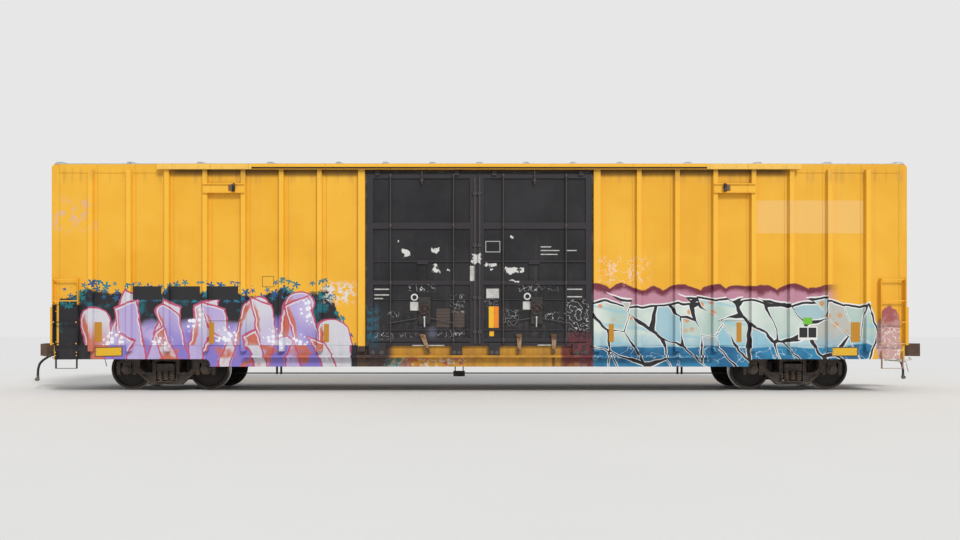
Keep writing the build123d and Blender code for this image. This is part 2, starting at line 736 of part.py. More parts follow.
def end_ladder():
    """The short ladder on the end, beside the corner."""
    x0 = BODY_HALF
    y_mid = END_LADDER_Y
    width = END_LADDER_WIDTH
    low = SHEET_BOTTOM
    high = END_LADDER_TOP
    ladder = None
    for side in (-1, 1):
        y = y_mid + side * width / 2
        stile = block(x0, x0 + 70.0, y - 6.0, y + 6.0, low, high)
        ladder = stile if ladder is None else ladder + stile
    for z in (low + 40.0, (low + high) / 2, high - 40.0):
        ladder += block(x0 + 40.0, x0 + 40.0 + RUNG_SIZE, y_mid - width / 2, y_mid + width / 2,
                        z - RUNG_SIZE / 2, z + RUNG_SIZE / 2)
    return ladder


def sill_step():
    """The flat-bar stirrup under the side sill."""
    y0 = SILL_Y
    x0 = LADDER_CENTRE - STEP_WIDTH / 2
    x1 = LADDER_CENTRE + STEP_WIDTH / 2
    top = SILL_BOTTOM + 180.0
    step = block(x0, x1, y0, y0 + STEP_TREAD, STEP_BOTTOM, STEP_BOTTOM + STEP_BAR)
    step += block(x0, x0 + STEP_BAR, y0, y0 + STEP_TREAD, STEP_BOTTOM, top)
    step += block(x1 - STEP_BAR, x1, y0, y0 + STEP_TREAD, STEP_BOTTOM, top)
    return step


def crossover_platform():
    """The grated step across the end."""
    back = INSIDE_HALF + END_PLATE_DEPTH
    x0 = BODY_HALF + PLATFORM_STAND_OFF
    x1 = x0 + PLATFORM_DEPTH
    z = PLATFORM_TOP
    half = PLATFORM_HALF
    low = z - PLATFORM_PLATE
    deck = block(x0, x1, -half, half, low, z)
    slot = (x1 - x0 - 40.0) / PLATFORM_SLOTS
    for k in range(PLATFORM_SLOTS):
        near = x0 + 20.0 + slot * k + 8.0
        deck -= block(near, near + slot - 16.0, -half + 30.0, -20.0, z - 60.0, z + 10.0)
        deck -= block(near, near + slot - 16.0, 20.0, half - 30.0, z - 60.0, z + 10.0)
    for side in (-1, 1):
        brace = [
            (back, low),
            (back, z - 130.0),
            (x1 - 40.0, low),
        ]
        middle = side * (half - 250.0)
        deck += along_y(brace, middle - 6.0, middle + 6.0)
    return deck


def drum(*rings):
    """A turned form about Y, drawn with flat sides: each ring is a radius and its place along Y."""
    sections = []
    for radius, y in rings:
        plane = Plane(origin=(0, y, 0), x_dir=(0, 0, 1), z_dir=(0, 1, 0))
        sections.append(plane * RegularPolygon(radius, WHEEL_SIDES))
    return loft(sections, ruled=True)


def wheel():
    """The wheel at +Y: flange and tread, a rim hollow on both faces, and the plate and hub."""
    back = BACK_TO_BACK / 2
    face = back + WHEEL_WIDTH
    rim_back = back + RIM_BACK_SETBACK
    plate_out = face - PLATE_RECESS
    plate_in = plate_out - PLATE_THICKNESS
    hub_in = (back + face) / 2 - HUB_LENGTH / 2
    plate_radius = RIM_INNER_RADIUS - 12.0
    flange_end = back + 33.0
    rim = drum((TREAD_RADIUS + FLANGE_DEPTH, rim_back), (TREAD_RADIUS, flange_end), (TREAD_RADIUS - TREAD_CONE, face))
    rim -= drum((RIM_INNER_RADIUS, rim_back), (plate_radius, plate_in))
    rim -= drum((plate_radius, plate_out), (RIM_INNER_RADIUS, face))
    inner_cone = drum((HUB_RADIUS, hub_in), (plate_radius, plate_in))
    outer_cone = drum((plate_radius, plate_out), (HUB_RADIUS, hub_in + HUB_LENGTH))
    return join([rim, inner_cone, outer_cone])


def wheelset():
    """An axle and its two wheels, about the Y axis."""
    stub = JOURNAL_Y - BEARING_WIDTH / 2 - REST_GAP
    axle = round_bar((0, 0, 0), (0, 1, 0), AXLE_RADIUS, 2 * stub, AXLE_SIDES)
    one = wheel()
    return join([axle, one, flip_y(one)])


def bearing(x, side):
    """A closed roller bearing with its adapter, in the side frame's jaws."""
    y0 = JOURNAL_Y - BEARING_WIDTH / 2
    cup = round_bar((x, JOURNAL_Y, AXLE_HEIGHT), (0, 1, 0), BEARING_RADIUS, BEARING_WIDTH, BEARING_SIDES)
    cap_y = y0 + BEARING_WIDTH + BEARING_CAP_DEPTH / 2
    cap = round_bar((x, cap_y, AXLE_HEIGHT), (0, 1, 0), BEARING_CAP_RADIUS, BEARING_CAP_DEPTH, BAR_SIDES)
    adapter = block(x - ADAPTER_WIDTH / 2, x + ADAPTER_WIDTH / 2, JOURNAL_Y - 70.0, JOURNAL_Y + 70.0,
                    AXLE_HEIGHT + 60.0, JAW_ROOF)
    body = join([cup, cap, adapter])
    return body if side > 0 else flip_y(body)


def side_frame():
    """One cast side frame: jaws at both ends, the spring window and the two outer windows."""
    axle = WHEELBASE / 2
    jaw = BEARING_RADIUS + 14.0
    half = [
        (340.0, FRAME_BOTTOM),
        (660.0, RAIL + 398.0),
        (668.0, RAIL + 330.0),
        (axle - jaw - 14.0, RAIL + 330.0),
        (axle - jaw, RAIL + 350.0),
        (axle - jaw, JAW_ROOF),
        (axle + jaw, JAW_ROOF),
        (axle + jaw, RAIL + 350.0),
        (axle + jaw + 14.0, RAIL + 330.0),
        (axle + jaw + 80.0, RAIL + 330.0),
        (axle + jaw + 92.0, RAIL + 620.0),
        (axle + 60.0, RAIL + 700.0),
        (560.0, FRAME_TOP - 20.0),
        (420.0, FRAME_TOP),
    ]
    ring = half + [(-x, z) for x, z in reversed(half)]
    frame = along_y(ring, FRAME_INNER_Y, FRAME_OUTER_Y)
    w = WINDOW_HALF_WIDTH
    middle = [
        (-w, SPRING_SEAT),
        (w, SPRING_SEAT),
        (w, RAIL + 605.0),
        (w - 45.0, RAIL + 640.0),
        (-w + 45.0, RAIL + 640.0),
        (-w, RAIL + 605.0),
    ]
    frame -= along_y(middle, FRAME_INNER_Y - 5, FRAME_OUTER_Y + 5)
    for side in (-1, 1):
        window = [
            (side * 300.0, RAIL + 385.0),
            (side * 480.0, RAIL + 385.0),
            (side * 590.0, RAIL + 480.0),
            (side * 590.0, RAIL + 640.0),
            (side * 540.0, RAIL + 690.0),
            (side * 300.0, RAIL + 700.0),
        ]
        frame -= along_y(window, FRAME_INNER_Y - 5, FRAME_OUTER_Y + 5)
        pocket = [
            (side * 262.0, RAIL + 178.0),
            (side * 338.0, RAIL + 160.0),
            (side * 540.0, RAIL + 348.0),
            (side * 262.0, RAIL + 348.0),
        ]
        frame -= along_y(pocket, FRAME_OUTER_Y - 45.0, FRAME_OUTER_Y + 5)
        frame -= along_y(pocket, FRAME_INNER_Y - 5, FRAME_INNER_Y + 45.0)
    return frame


def truck_bolster():
    """The cross beam between the side frames, with the centre bowl and side bearings."""
    half = [
        (450.0, RAIL + 350.0),
        (850.0, SPRING_TOP),
        (1120.0, SPRING_TOP),
        (1120.0, RAIL + 585.0),
        (850.0, RAIL + 600.0),
        (700.0, RAIL + 636.0),
    ]
    ring = half + [(-y, z) for y, z in reversed(half)]
    beam = along_x(ring, -BOLSTER_HALF_WIDTH, BOLSTER_HALF_WIDTH)
    bowl_floor = CENTRE_PLATE_HEIGHT - REST_GAP
    bowl_top = bowl_floor + BOWL_LIP
    inner = CENTRE_PLATE_RADIUS + BOWL_CLEARANCE
    outer = inner + BOWL_WALL
    low = RAIL + 620.0
    bowl = round_bar((0, 0, (low + bowl_top) / 2), (0, 0, 1), outer, bowl_top - low, CENTRE_PLATE_SIDES)
    bowl -= round_bar((0, 0, bowl_floor + 50.0), (0, 0, 1), inner, 100.0, CENTRE_PLATE_SIDES)
    beam += bowl
    for side in (-1, 1):
        y = side * SIDE_BEARING_OFFSET
        beam += block(-105.0, 105.0, y - 42.0, y + 42.0, RAIL + 620.0, SIDE_BEARING_TOP)
    return beam


def spring_group():
    """The nest of coils under one bolster end, with its two seat plates."""
    half_x = SPRING_PITCH * (SPRING_COLUMNS - 1) / 2
    half_y = SPRING_PITCH * (SPRING_ROWS - 1) / 2
    plate_x = half_x + SPRING_RADIUS
    plate_y = half_y + SPRING_RADIUS
    y_mid = JOURNAL_Y
    group = block(-plate_x, plate_x, y_mid - plate_y, y_mid + plate_y, SPRING_SEAT, SPRING_SEAT + SPRING_PLATE)
    group += block(-plate_x, plate_x, y_mid - plate_y, y_mid + plate_y, SPRING_TOP - SPRING_PLATE, SPRING_TOP)
    low = SPRING_SEAT + SPRING_PLATE
    high = SPRING_TOP - SPRING_PLATE
    for i in range(SPRING_COLUMNS):
        for j in range(SPRING_ROWS):
            x = -half_x + SPRING_PITCH * i
            y = y_mid - half_y + SPRING_PITCH * j
            group += round_bar((x, y, (low + high) / 2), (0, 0, 1), SPRING_RADIUS, high - low, SPRING_SIDES)
    return group


def brake_beam():
    """One brake beam with its two shoes, for the wheels at +X."""
    axle = WHEELBASE / 2
    reach = TREAD_RADIUS + SHOE_GAP
    outer = reach + SHOE_THICKNESS
    start = math.radians(163.0)
    middle = math.radians(180.0)
    end = math.radians(203.0)

    def spot(radius, angle):
        return (axle + radius * math.cos(angle), AXLE_HEIGHT + radius * math.sin(angle))

    shoe = [
        spot(reach, start),
        (spot(reach, middle), spot(reach, end)),
        spot(outer, end),
        (spot(outer, middle), spot(outer, start)),
    ]
    tread_mid = BACK_TO_BACK / 2 + 92.0
    beam = block(300.0, axle - outer + 6.0, -FRAME_INNER_Y, FRAME_INNER_Y,
                 AXLE_HEIGHT - 95.0, AXLE_HEIGHT - 35.0)
    for side in (-1, 1):
        y = side * tread_mid
        beam += along_y(shoe, y - 42.0, y + 42.0)
    beam += block(244.0, 300.0, -28.0, 28.0, AXLE_HEIGHT - 200.0, AXLE_HEIGHT - 40.0)
    return beam


def at_truck(shape, end):
    return Pos(end * TRUCK_X, 0, 0) * shape


def coupler():
    """The shank and head, at the +X end."""
    face = PULLING_FACE
    half_w = SHANK_WIDTH / 2
    half_h = SHANK_HEIGHT / 2
    shank = block(COUPLER_PIVOT_X - 90.0, face - 280.0, -half_w, half_w,
                  COUPLER_HEIGHT - half_h, COUPLER_HEIGHT + half_h)
    head = [
        (face - 330.0, -half_w),
        (face - 240.0, -130.0),
        (face - 100.0, -180.0),
        (face + 0.0, -212.0),
        (face + 0.0, -160.0),
        (face - 80.0, -112.0),
        (face - 118.0, -70.0),
        (face - 118.0, 62.0),
        (face - 132.0, 92.0),
        (face - 92.0, 150.0),
        (face - 92.0, 196.0),
        (face - 170.0, 180.0),
        (face - 240.0, 130.0),
        (face - 330.0, half_w),
    ]
    return shank + along_z(head, COUPLER_HEIGHT - HEAD_HEIGHT / 2, COUPLER_HEIGHT + HEAD_HEIGHT / 2)


def knuckle():
    """The hook that closes on the next coupler, at the +X end."""
    face = PULLING_FACE
    g = KNUCKLE_GAP
    hook = [
        (face - 92.0 + g, 150.0),
        (face - 92.0 + g, 190.0),
        (face - 30.0, 176.0),
        (face - 4.0, 130.0),
        (face - 0.0, 20.0),
        (face - 16.0, -14.0),
        (face - 42.0, -10.0),
        (face - 48.0, 40.0),
        (face - 66.0, 66.0),
        (face - 112.0, 62.0),
        (face - 126.0 + g, 92.0),
    ]
    return along_z(hook, COUPLER_HEIGHT - KNUCKLE_HEIGHT / 2, COUPLER_HEIGHT + KNUCKLE_HEIGHT / 2)


def uncoupling_lever():
    """The rod that lifts the coupler's lock, from under the head to the handle at the corner."""
    r = 11.0
    x = BODY_HALF + 60.0
    z = RAIL + 640.0
    points = [
        (PULLING_FACE - 190.0, -60.0, RAIL + 690.0),
        (PULLING_FACE - 190.0, -190.0, z),
        (x, -460.0, z),
        (x, -1330.0, z),
        (x, -1440.0, RAIL + 420.0),
    ]
    lever = bar(points, r, ROD_SIDES)
    for y in (-560.0, -1240.0):
        lever += block(BODY_HALF - END_SILL_DEPTH + SILL_WEB, x + 14.0, y - 6.0, y + 6.0, z - 14.0, z + 90.0)
    return lever


def hose(route):
    """The rubber hose: straight runs joined by arcs as large as the runs allow."""
    points = [Vector(*p) for p in route]
    radii = []
    for a, b, c in zip(points, points[1:], points[2:]):
        before = b - a
        after = c - b
        turn = math.radians(before.get_angle(after))
        shorter = min(before.length, after.length)
        radii.append(0.45 * shorter / math.tan(turn / 2))
    path = FilletPolyline(*points, radius=radii)
    section = RegularPolygon(HOSE_DIAMETER / 2, HOSE_SIDES)
    tube = sweep(Plane(origin=path @ 0, z_dir=path % 0) * section, path=path)
    area = section.area
    print("hose radii", [round(r) for r in radii], "length", round(path.length),
          "volume ratio", round(tube.volume / (area * path.length), 4))
    return tube


def gladhand(route):
    """The cast fitting on the hose's free end."""
    x, y, z = route[-1]
    low = z - 130.0
    body = round_bar((x, y, z - 32.0), (0, 0, 1), HOSE_DIAMETER / 2 + 4.0, 64.0, HOSE_SIDES)
    plate = [
        (x - 26.0, z - 50.0),
        (x - 34.0, low + 30.0),
        (x - 10.0, low),
        (x + 46.0, low + 6.0),
        (x + 62.0, low + 50.0),
        (x + 30.0, z - 50.0),
    ]
    return body + along_y(plate, y - 20.0, y + 30.0)


def cock_start():
    """The point where the train pipe meets the angle cock, at the +X end."""
    exit_point = Vector(*HOSE_ROUTE[0])
    lean = (Vector(*HOSE_ROUTE[1]) - exit_point).normalized()
    return exit_point - lean * COCK_LENGTH


def train_pipe():
    """The air pipe under the car. It crosses below the centre sill, so that its ends match."""
    tip = cock_start()
    bend = tip + (tip - Vector(*HOSE_ROUTE[0])) * 0.5
    side = PIPE_SIDE
    z = PIPE_HEIGHT
    points = [
        (-tip.X, -tip.Y, tip.Z),
        (-bend.X, -bend.Y, bend.Z),
        (-STRIKER_X + 40.0, -side, z),
        (-2700.0, -side, z),
        (-2000.0, side, z),
        (STRIKER_X - 40.0, side, z),
        (bend.X, bend.Y, bend.Z),
        (tip.X, tip.Y, tip.Z),
    ]
    pipe = bar(points, PIPE_RADIUS)
    clamp_top = bearer_bottom(side - 6.0, BEARER_DEPTH)
    for x, y in ((BEARER_X[0], side), (BEARER_X[1], side), (-BEARER_X[1], -side)):
        pipe += block(x - 20.0, x + 20.0, y - 6.0, y + 6.0, z, clamp_top)
    return pipe


def angle_cock():
    """The cock that a hose screws into, with its bracket to the draft sill."""
    x, y, z = HOSE_ROUTE[0]
    start = cock_start()
    body = bar([tuple(start), (x, y, z)], HOSE_DIAMETER / 2 + 6.0, HOSE_SIDES)
    low = start.Z + 62.0
    arm = block(STRIKER_X - 60.0, start.X + 70.0, CENTRE_WEB_Y, y + 20.0, low, low + 16.0)
    lug = block(start.X + 30.0, start.X + 70.0, y - 20.0, y + 20.0, start.Z - 20.0, low)
    return join([body, arm, lug])


def air_reservoir():
    """The air tank, strapped to a floor stringer."""
    x = RESERVOIR_X
    y = STRINGER_Y[1]
    z = RAIL + 720.0
    tank = round_bar((x, y, z), (1, 0, 0), RESERVOIR_RADIUS, RESERVOIR_LENGTH, 20)
    for side in (-1, 1):
        strap = x + side * 330.0
        tank += block(strap - 30.0, strap + 30.0, y - 25.0, y + 25.0, z + 150.0, MEMBER_TOP)
    return tank


def control_valve():
    """The valve that works the air brake, hung from a floor stringer."""
    x = VALVE_X
    y = STRINGER_Y[1]
    body = block(x - 150.0, x + 150.0, y - 110.0, y + 110.0, RAIL + 690.0, RAIL + 900.0)
    body += block(x - 60.0, x + 60.0, y - 25.0, y + 25.0, RAIL + 900.0, MEMBER_TOP)
    body += round_bar((x - 210.0, y, RAIL + 790.0), (1, 0, 0), 85.0, 130.0, 12)
    body += round_bar((x + 210.0, y, RAIL + 790.0), (1, 0, 0), 85.0, 130.0, 12)
    return body


def brake_cylinder():
    """The cylinder that pulls the brake levers, hung from a floor stringer."""
    x = CYLINDER_X
    y = -STRINGER_Y[0]
    z = RAIL + 745.0
    body = round_bar((x, y, z), (1, 0, 0), CYLINDER_RADIUS, 460.0, 20)
    body += round_bar((x + 290.0, y, z), (1, 0, 0), 40.0, 140.0, 8)
    body += block(x - 150.0, x + 150.0, y - 28.0, y + 28.0, z + 100.0, MEMBER_TOP)
    return body


def brake_rods():
    """The pull rods along the car, their safety hangers and the lever frame near the middle."""
    z = ROD_HEIGHT
    r = 14.0
    truck_end = TRUCK_X - 370.0
    side = 60.0
    solids = []
    for end in (-1, 1):
        inner = LEVER_FRAME_X + end * LEVER_FRAME_HALF
        middle = (end * truck_end + inner) / 2
        pull = round_bar((middle, side, z), (1, 0, 0), r, abs(end * truck_end - inner))
        jaw_x = end * truck_end
        pull += block(jaw_x - 45.0, jaw_x + 45.0, side - 28.0, side + 28.0, z - 26.0, z + 26.0)
        hanger_x = end * HANGER_X
        width = 58.0
        for x in (hanger_x - 50.0, hanger_x + 50.0):
            low = z - r - 12.0
            hanger = block(x - 12.0, x + 12.0, side - width, side + width, low, z - r * 0.8)
            for leg in (-1, 1):
                y = side + leg * width
                near, far = sorted((y, y - leg * 10.0))
                hanger += block(x - 12.0, x + 12.0, near, far, low, CENTRE_SILL_BOTTOM + 200.0)
            solids.append(hanger)
        solids.append(pull)
    return solids


def lever_frame():
    """The bracket under the middle of the car that carries the brake levers."""
    x = LEVER_FRAME_X
    half = LEVER_FRAME_HALF
    inner = CENTRE_SILL_INSIDE / 2
    frame = block(x - half, x + half, -90.0, 150.0, ROD_HEIGHT - 70.0, ROD_HEIGHT + 50.0)
    for side in (-1, 1):
        frame += block(x + side * half * 0.7 - 10.0, x + side * half * 0.7 + 10.0, -90.0, -60.0,
                       ROD_HEIGHT, CENTRE_SILL_BOTTOM + 200.0)
        frame += block(x + side * half * 0.7 - 10.0, x + side * half * 0.7 + 10.0, 120.0, 150.0,
                       ROD_HEIGHT, CENTRE_SILL_BOTTOM + 200.0)
    tie = block(x - half, x + half, -inner, inner, CENTRE_SILL_BOTTOM + 200.0, CENTRE_SILL_BOTTOM + 225.0)
    return frame + tie


def hand_brake():
    """The gear case on the end, with the rod down to the brake rigging."""
    x0 = INSIDE_HALF + END_PLATE_DEPTH + END_RIB_DEPTH
    y = HAND_BRAKE_Y
    z = HAND_BRAKE_HEIGHT
    case = block(x0, x0 + 110.0, y - 130.0, y + 130.0, z - 170.0, z + 150.0)
    shaft = round_bar((x0 + 125.0, y, z), (1, 0, 0), 24.0, 40.0)
    low = SILL_BOTTOM + 60.0
    pull_x = BODY_HALF + PLATFORM_STAND_OFF / 2
    pull = block(pull_x - 8.0, pull_x + 8.0, y - 8.0, y + 8.0, low, z - 160.0)
    guide = block(BODY_HALF - END_SILL_DEPTH + SILL_WEB, pull_x + 20.0, y - 40.0, y + 40.0, low - 12.0, low)
    return join([case, shaft, pull, guide])


def hand_brake_wheel():
    """The hand wheel: a rim, three spokes and a hub."""
    x = INSIDE_HALF + END_PLATE_DEPTH + END_RIB_DEPTH + 145.0
    y = HAND_BRAKE_Y
    z = HAND_BRAKE_HEIGHT
    rim = round_bar((x + 15.0, y, z), (1, 0, 0), 280.0, 26.0, 16)
    rim -= round_bar((x + 15.0, y, z), (1, 0, 0), 252.0, 60.0, 16)
    hub = round_bar((x + 14.0, y, z), (1, 0, 0), 42.0, 28.0, 12)
    spokes = []
    for k in range(3):
        angle = 90.0 + 120.0 * k
        spoke = block(x + 4.0, x + 16.0, -14.0, 14.0, 20.0, 266.0)
        spokes.append(Pos(0, y, z) * Rot(angle - 90.0, 0, 0) * spoke)
    return join([rim, hub] + spokes)


def main():
    os.makedirs("parts", exist_ok=True)
    wall = side_wall()
    save("side_wall_near_right", flip_y(wall))
    save("side_wall_near_left", flip_x(flip_y(wall)))
    save("side_wall_far_right", wall)
    save("side_wall_far_left", flip_x(wall))
    save("side_plates", *both_sides(side_plate()))
    save("roof", roof())
    end = end_wall()
    save("end_wall_b", end)
    save("end_wall_a", flip_x(end))
    save("floor", floor())
    save("side_sills", *both_sides(side_sill()))
    corner = end_sill()
    save("end_sills", corner, flip_x(corner), flip_y(corner), flip_x(flip_y(corner)))
    save("centre_sill", centre_sill())
    arm = body_bolster()
    save("body_bolsters", arm, flip_x(arm), flip_y(arm), flip_x(flip_y(arm)))
    bearers = []
    places = [
        (BEARER_X[0], BEARER_DEPTH),
        (BEARER_X[1], BEARER_DEPTH),
        (TRUCK_X - 1808.5, SMALL_BEARER_DEPTH),
        (BODY_HALF - 715.0, END_BEARER_DEPTH),
    ]
    for x, depth in places:
        bearer = cross_bearer(x, depth)
        bearers += [bearer, flip_x(bearer), flip_y(bearer), flip_x(flip_y(bearer))]
    save("cross_bearers", *bearers)
    save("upper_tracks", *both_sides(upper_track()))
    save("lower_tracks", *both_sides(lower_track()))
    # The leaves are drawn at +X, +Y. The far side is the near side turned half round.
    main_leaf = plug_door(DOOR_EDGE_GAP / 2 - DOOR_JOINT_OFFSET, MAIN_LEAF_STILE, 329.0)
    first_leaf = plug_door(DOOR_EDGE_GAP / 2 + DOOR_JOINT_OFFSET, FIRST_LEAF_STILE, 495.0)
    save("door_near_right", flip_y(main_leaf))
    save("door_near_left", flip_x(flip_y(first_leaf)))
    save("door_far_right", first_leaf)
    save("door_far_left", flip_x(main_leaf))
    main_gear = lock_gear(DOOR_OPENING / 4 + 15.0)
    first_gear = lock_gear(DOOR_OPENING / 4 - 35.0)
    save("door_lock_gear", flip_y(main_gear), flip_x(main_gear), flip_x(flip_y(first_gear)), first_gear)
    main_levers = [locking_lever(DOOR_OPENING / 4 + reach, 0.0) for reach in (-368.0, 395.0)]
    first_lever = locking_lever(DOOR_OPENING / 4 + 10.0, -160.0)
    levers = [flip_y(shape) for shape in main_levers] + [flip_x(shape) for shape in main_levers]
    save("door_levers", *levers, flip_x(flip_y(first_lever)), first_lever)
    stop = door_stop()
    save("door_stops", stop, flip_x(stop), flip_y(stop), flip_x(flip_y(stop)))
    ladder = side_ladder()
    save("side_ladders", ladder, flip_x(ladder), flip_y(ladder), flip_x(flip_y(ladder)))
    short = end_ladder()
    save("end_ladders", flip_y(short), turned(flip_y(short)), short, turned(short))
    step = sill_step()
    save("sill_steps", step, flip_x(step), flip_y(step), flip_x(flip_y(step)))
    save("crossover_platforms", *both_ends(crossover_platform()))
    save("air_reservoir", air_reservoir())
    cock = angle_cock()
    save("train_pipe", train_pipe())
    save("angle_cocks", cock, turned(cock))
    save("control_valve", control_valve())
    save("brake_cylinder", brake_cylinder())
    save("brake_rods", *brake_rods())
    save("brake_lever_frame", lever_frame())
    save("hand_brake", hand_brake())
    save("hand_brake_wheel", hand_brake_wheel())
    lever = uncoupling_lever()
    save("uncoupling_levers", lever, turned(lever))
    tube = hose(HOSE_ROUTE)
    hand = gladhand(HOSE_ROUTE)
    save("air_hose_b", tube)
    save("air_hose_a", turned(tube))
    save("gladhand_b", hand)
    save("gladhand_a", turned(hand))
    head = coupler()
    hook = knuckle()
    save("coupler_b", head)
    save("coupler_a", turned(head))
    save("knuckle_b", hook)
    save("knuckle_a", turned(hook))
    frame = side_frame()
    beam = truck_bolster()
    springs = spring_group()
    brake = brake_beam()
    wheels = Pos(0, 0, AXLE_HEIGHT) * wheelset()
    number = 0
    for letter, end_sign in (("a", -1), ("b", 1)):
        truck = "truck_" + letter
        save(truck + "_side_frames", *[at_truck(s, end_sign) for s in both_sides(frame)])
        save(truck + "_bolster", at_truck(beam, end_sign))
        save(truck + "_springs", *[at_truck(s, end_sign) for s in both_sides(springs)])
        save(truck + "_brake_beams", *[at_truck(s, end_sign) for s in both_ends(brake)])
        bearings = []
        for place in (-1, 1):
            for side in (-1, 1):
                bearings.append(at_truck(bearing(place * WHEELBASE / 2, side), end_sign))
        save(truck + "_bearings", *bearings)
        for place in (-1, 1):
            number += 1
            x = end_sign * TRUCK_X + place * WHEELBASE / 2
            save("wheelset_" + str(number), Pos(x, 0, 0) * wheels)


main()
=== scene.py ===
"""The looks of a sixty-foot boxcar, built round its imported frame. Metres, +Z up, +X along the car."""

import json
import math
from collections import namedtuple
from functools import reduce

import bmesh
import bpy
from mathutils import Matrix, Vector


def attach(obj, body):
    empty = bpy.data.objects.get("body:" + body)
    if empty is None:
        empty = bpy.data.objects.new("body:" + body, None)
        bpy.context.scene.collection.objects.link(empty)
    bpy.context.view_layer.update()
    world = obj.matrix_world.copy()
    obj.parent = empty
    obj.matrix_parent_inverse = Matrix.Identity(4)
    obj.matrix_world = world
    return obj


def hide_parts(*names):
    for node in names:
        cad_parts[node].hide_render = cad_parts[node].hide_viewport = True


# The frame's own sizes, repeated in metres
RAIL = 0.0254
TRUCK_X = 7.0485
AXLE_OFFSET = 0.889
AXLE_Z = RAIL + 0.4572
JOURNAL_Y = 1.0035
SHEET_Y = 1.5
RAISED_Y = 1.508
SILL_Y = 1.494
POST_PITCH = 0.8382
FIRST_POST = 3.508
FRAME_OUTER_Y = 1.081
BOLSTER_END_Y = 1.120
DOOR_FACE_Y = 1.545
DOOR_SKIN_Y = 1.517
ROD_Y = 1.575

# The photograph's camera
CAMERA_DISTANCE = 20.5
CAMERA_HEIGHT = RAIL + 1.337
LENS = 32.36
SENSOR = 36.0
HORIZON_SHIFT = 0.0627
SIDE_SHIFT = 0.0007

# The direction from the car's middle line to its +Y side
OUT = (0, 1, 0)

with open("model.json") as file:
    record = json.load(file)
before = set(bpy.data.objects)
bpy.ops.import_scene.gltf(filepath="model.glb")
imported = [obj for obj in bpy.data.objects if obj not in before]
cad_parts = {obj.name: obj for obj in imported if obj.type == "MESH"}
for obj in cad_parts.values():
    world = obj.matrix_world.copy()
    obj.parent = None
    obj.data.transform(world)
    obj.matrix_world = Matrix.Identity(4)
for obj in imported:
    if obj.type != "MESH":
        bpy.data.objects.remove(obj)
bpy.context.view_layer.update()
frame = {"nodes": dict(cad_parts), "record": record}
nodes = frame["nodes"]
scene = bpy.context.scene
scene.view_settings.view_transform = "Standard"


def add_object(name, data):
    obj = bpy.data.objects.new(name, data)
    scene.collection.objects.link(obj)
    return obj


def make_camera():
    data = bpy.data.cameras.new("camera")
    data.lens = LENS
    data.sensor_width = SENSOR
    data.shift_x = SIDE_SHIFT
    data.shift_y = HORIZON_SHIFT
    data.clip_end = 500.0
    camera = add_object("camera", data)
    camera.location = (0.0, -CAMERA_DISTANCE, CAMERA_HEIGHT)
    camera.rotation_euler = (math.radians(90.0), 0.0, 0.0)
    scene.camera = camera


make_camera()


# Node trees written as plain sums


class Value:
    """A number or a colour in a node tree."""

    def __init__(self, tree, socket):
        self.tree = tree
        self.socket = socket

    def sum(self, kind, *others):
        return self.tree.math(kind, self, *others)

    def __add__(self, other):
        return self.sum("ADD", other)

    __radd__ = __add__

    def __sub__(self, other):
        return self.sum("SUBTRACT", other)

    def __rsub__(self, other):
        return self.tree.math("SUBTRACT", other, self)

    def __mul__(self, other):
        return self.sum("MULTIPLY", other)

    def __truediv__(self, other):
        return self.sum("DIVIDE", other)

    def __abs__(self):
        return self.sum("ABSOLUTE")

    def low(self, other):
        return self.sum("MINIMUM", other)

    def high(self, other):
        return self.sum("MAXIMUM", other)

    def sine(self):
        return self.sum("SINE")

    def wrap(self, step):
        return self.sum("WRAP", step, 0.0)

    def ramp(self, start, end):
        """0 below start, 1 above end, smooth between. Start may be the higher of the two."""
        low, high = sorted((start, end))
        result = (0.0, 1.0) if start < end else (1.0, 0.0)
        return self.tree.node("MapRange", (self, low, high, *result), interpolation_type="SMOOTHSTEP")

    def within(self, start, end, soft=0.003):
        return self.ramp(start - soft, start + soft) * self.ramp(end + soft, end - soft)


class Tree:
    """The node tree of the world or of a material."""

    def __init__(self, owner):
        owner.use_nodes = True
        self.nodes = owner.node_tree.nodes
        self.links = owner.node_tree.links
        self.nodes.clear()

    def plug(self, item, socket):
        if isinstance(item, Value):
            self.links.new(item.socket, socket)
        elif isinstance(item, tuple):
            socket.default_value = item + (1.0,) * (len(socket.default_value) - len(item))
        else:
            socket.default_value = item

    def node(self, kind, items=(), out=0, **settings):
        """One output of a new node. Items feed its inputs, in order or by name or number."""
        node = self.nodes.new("ShaderNode" + kind)
        for name, setting in settings.items():
            setattr(node, name, setting)
        for key, item in items.items() if isinstance(items, dict) else enumerate(items):
            self.plug(item, node.inputs[key])
        return Value(self, node.outputs[out])

    def math(self, kind, *items):
        return self.node("Math", items, operation=kind)


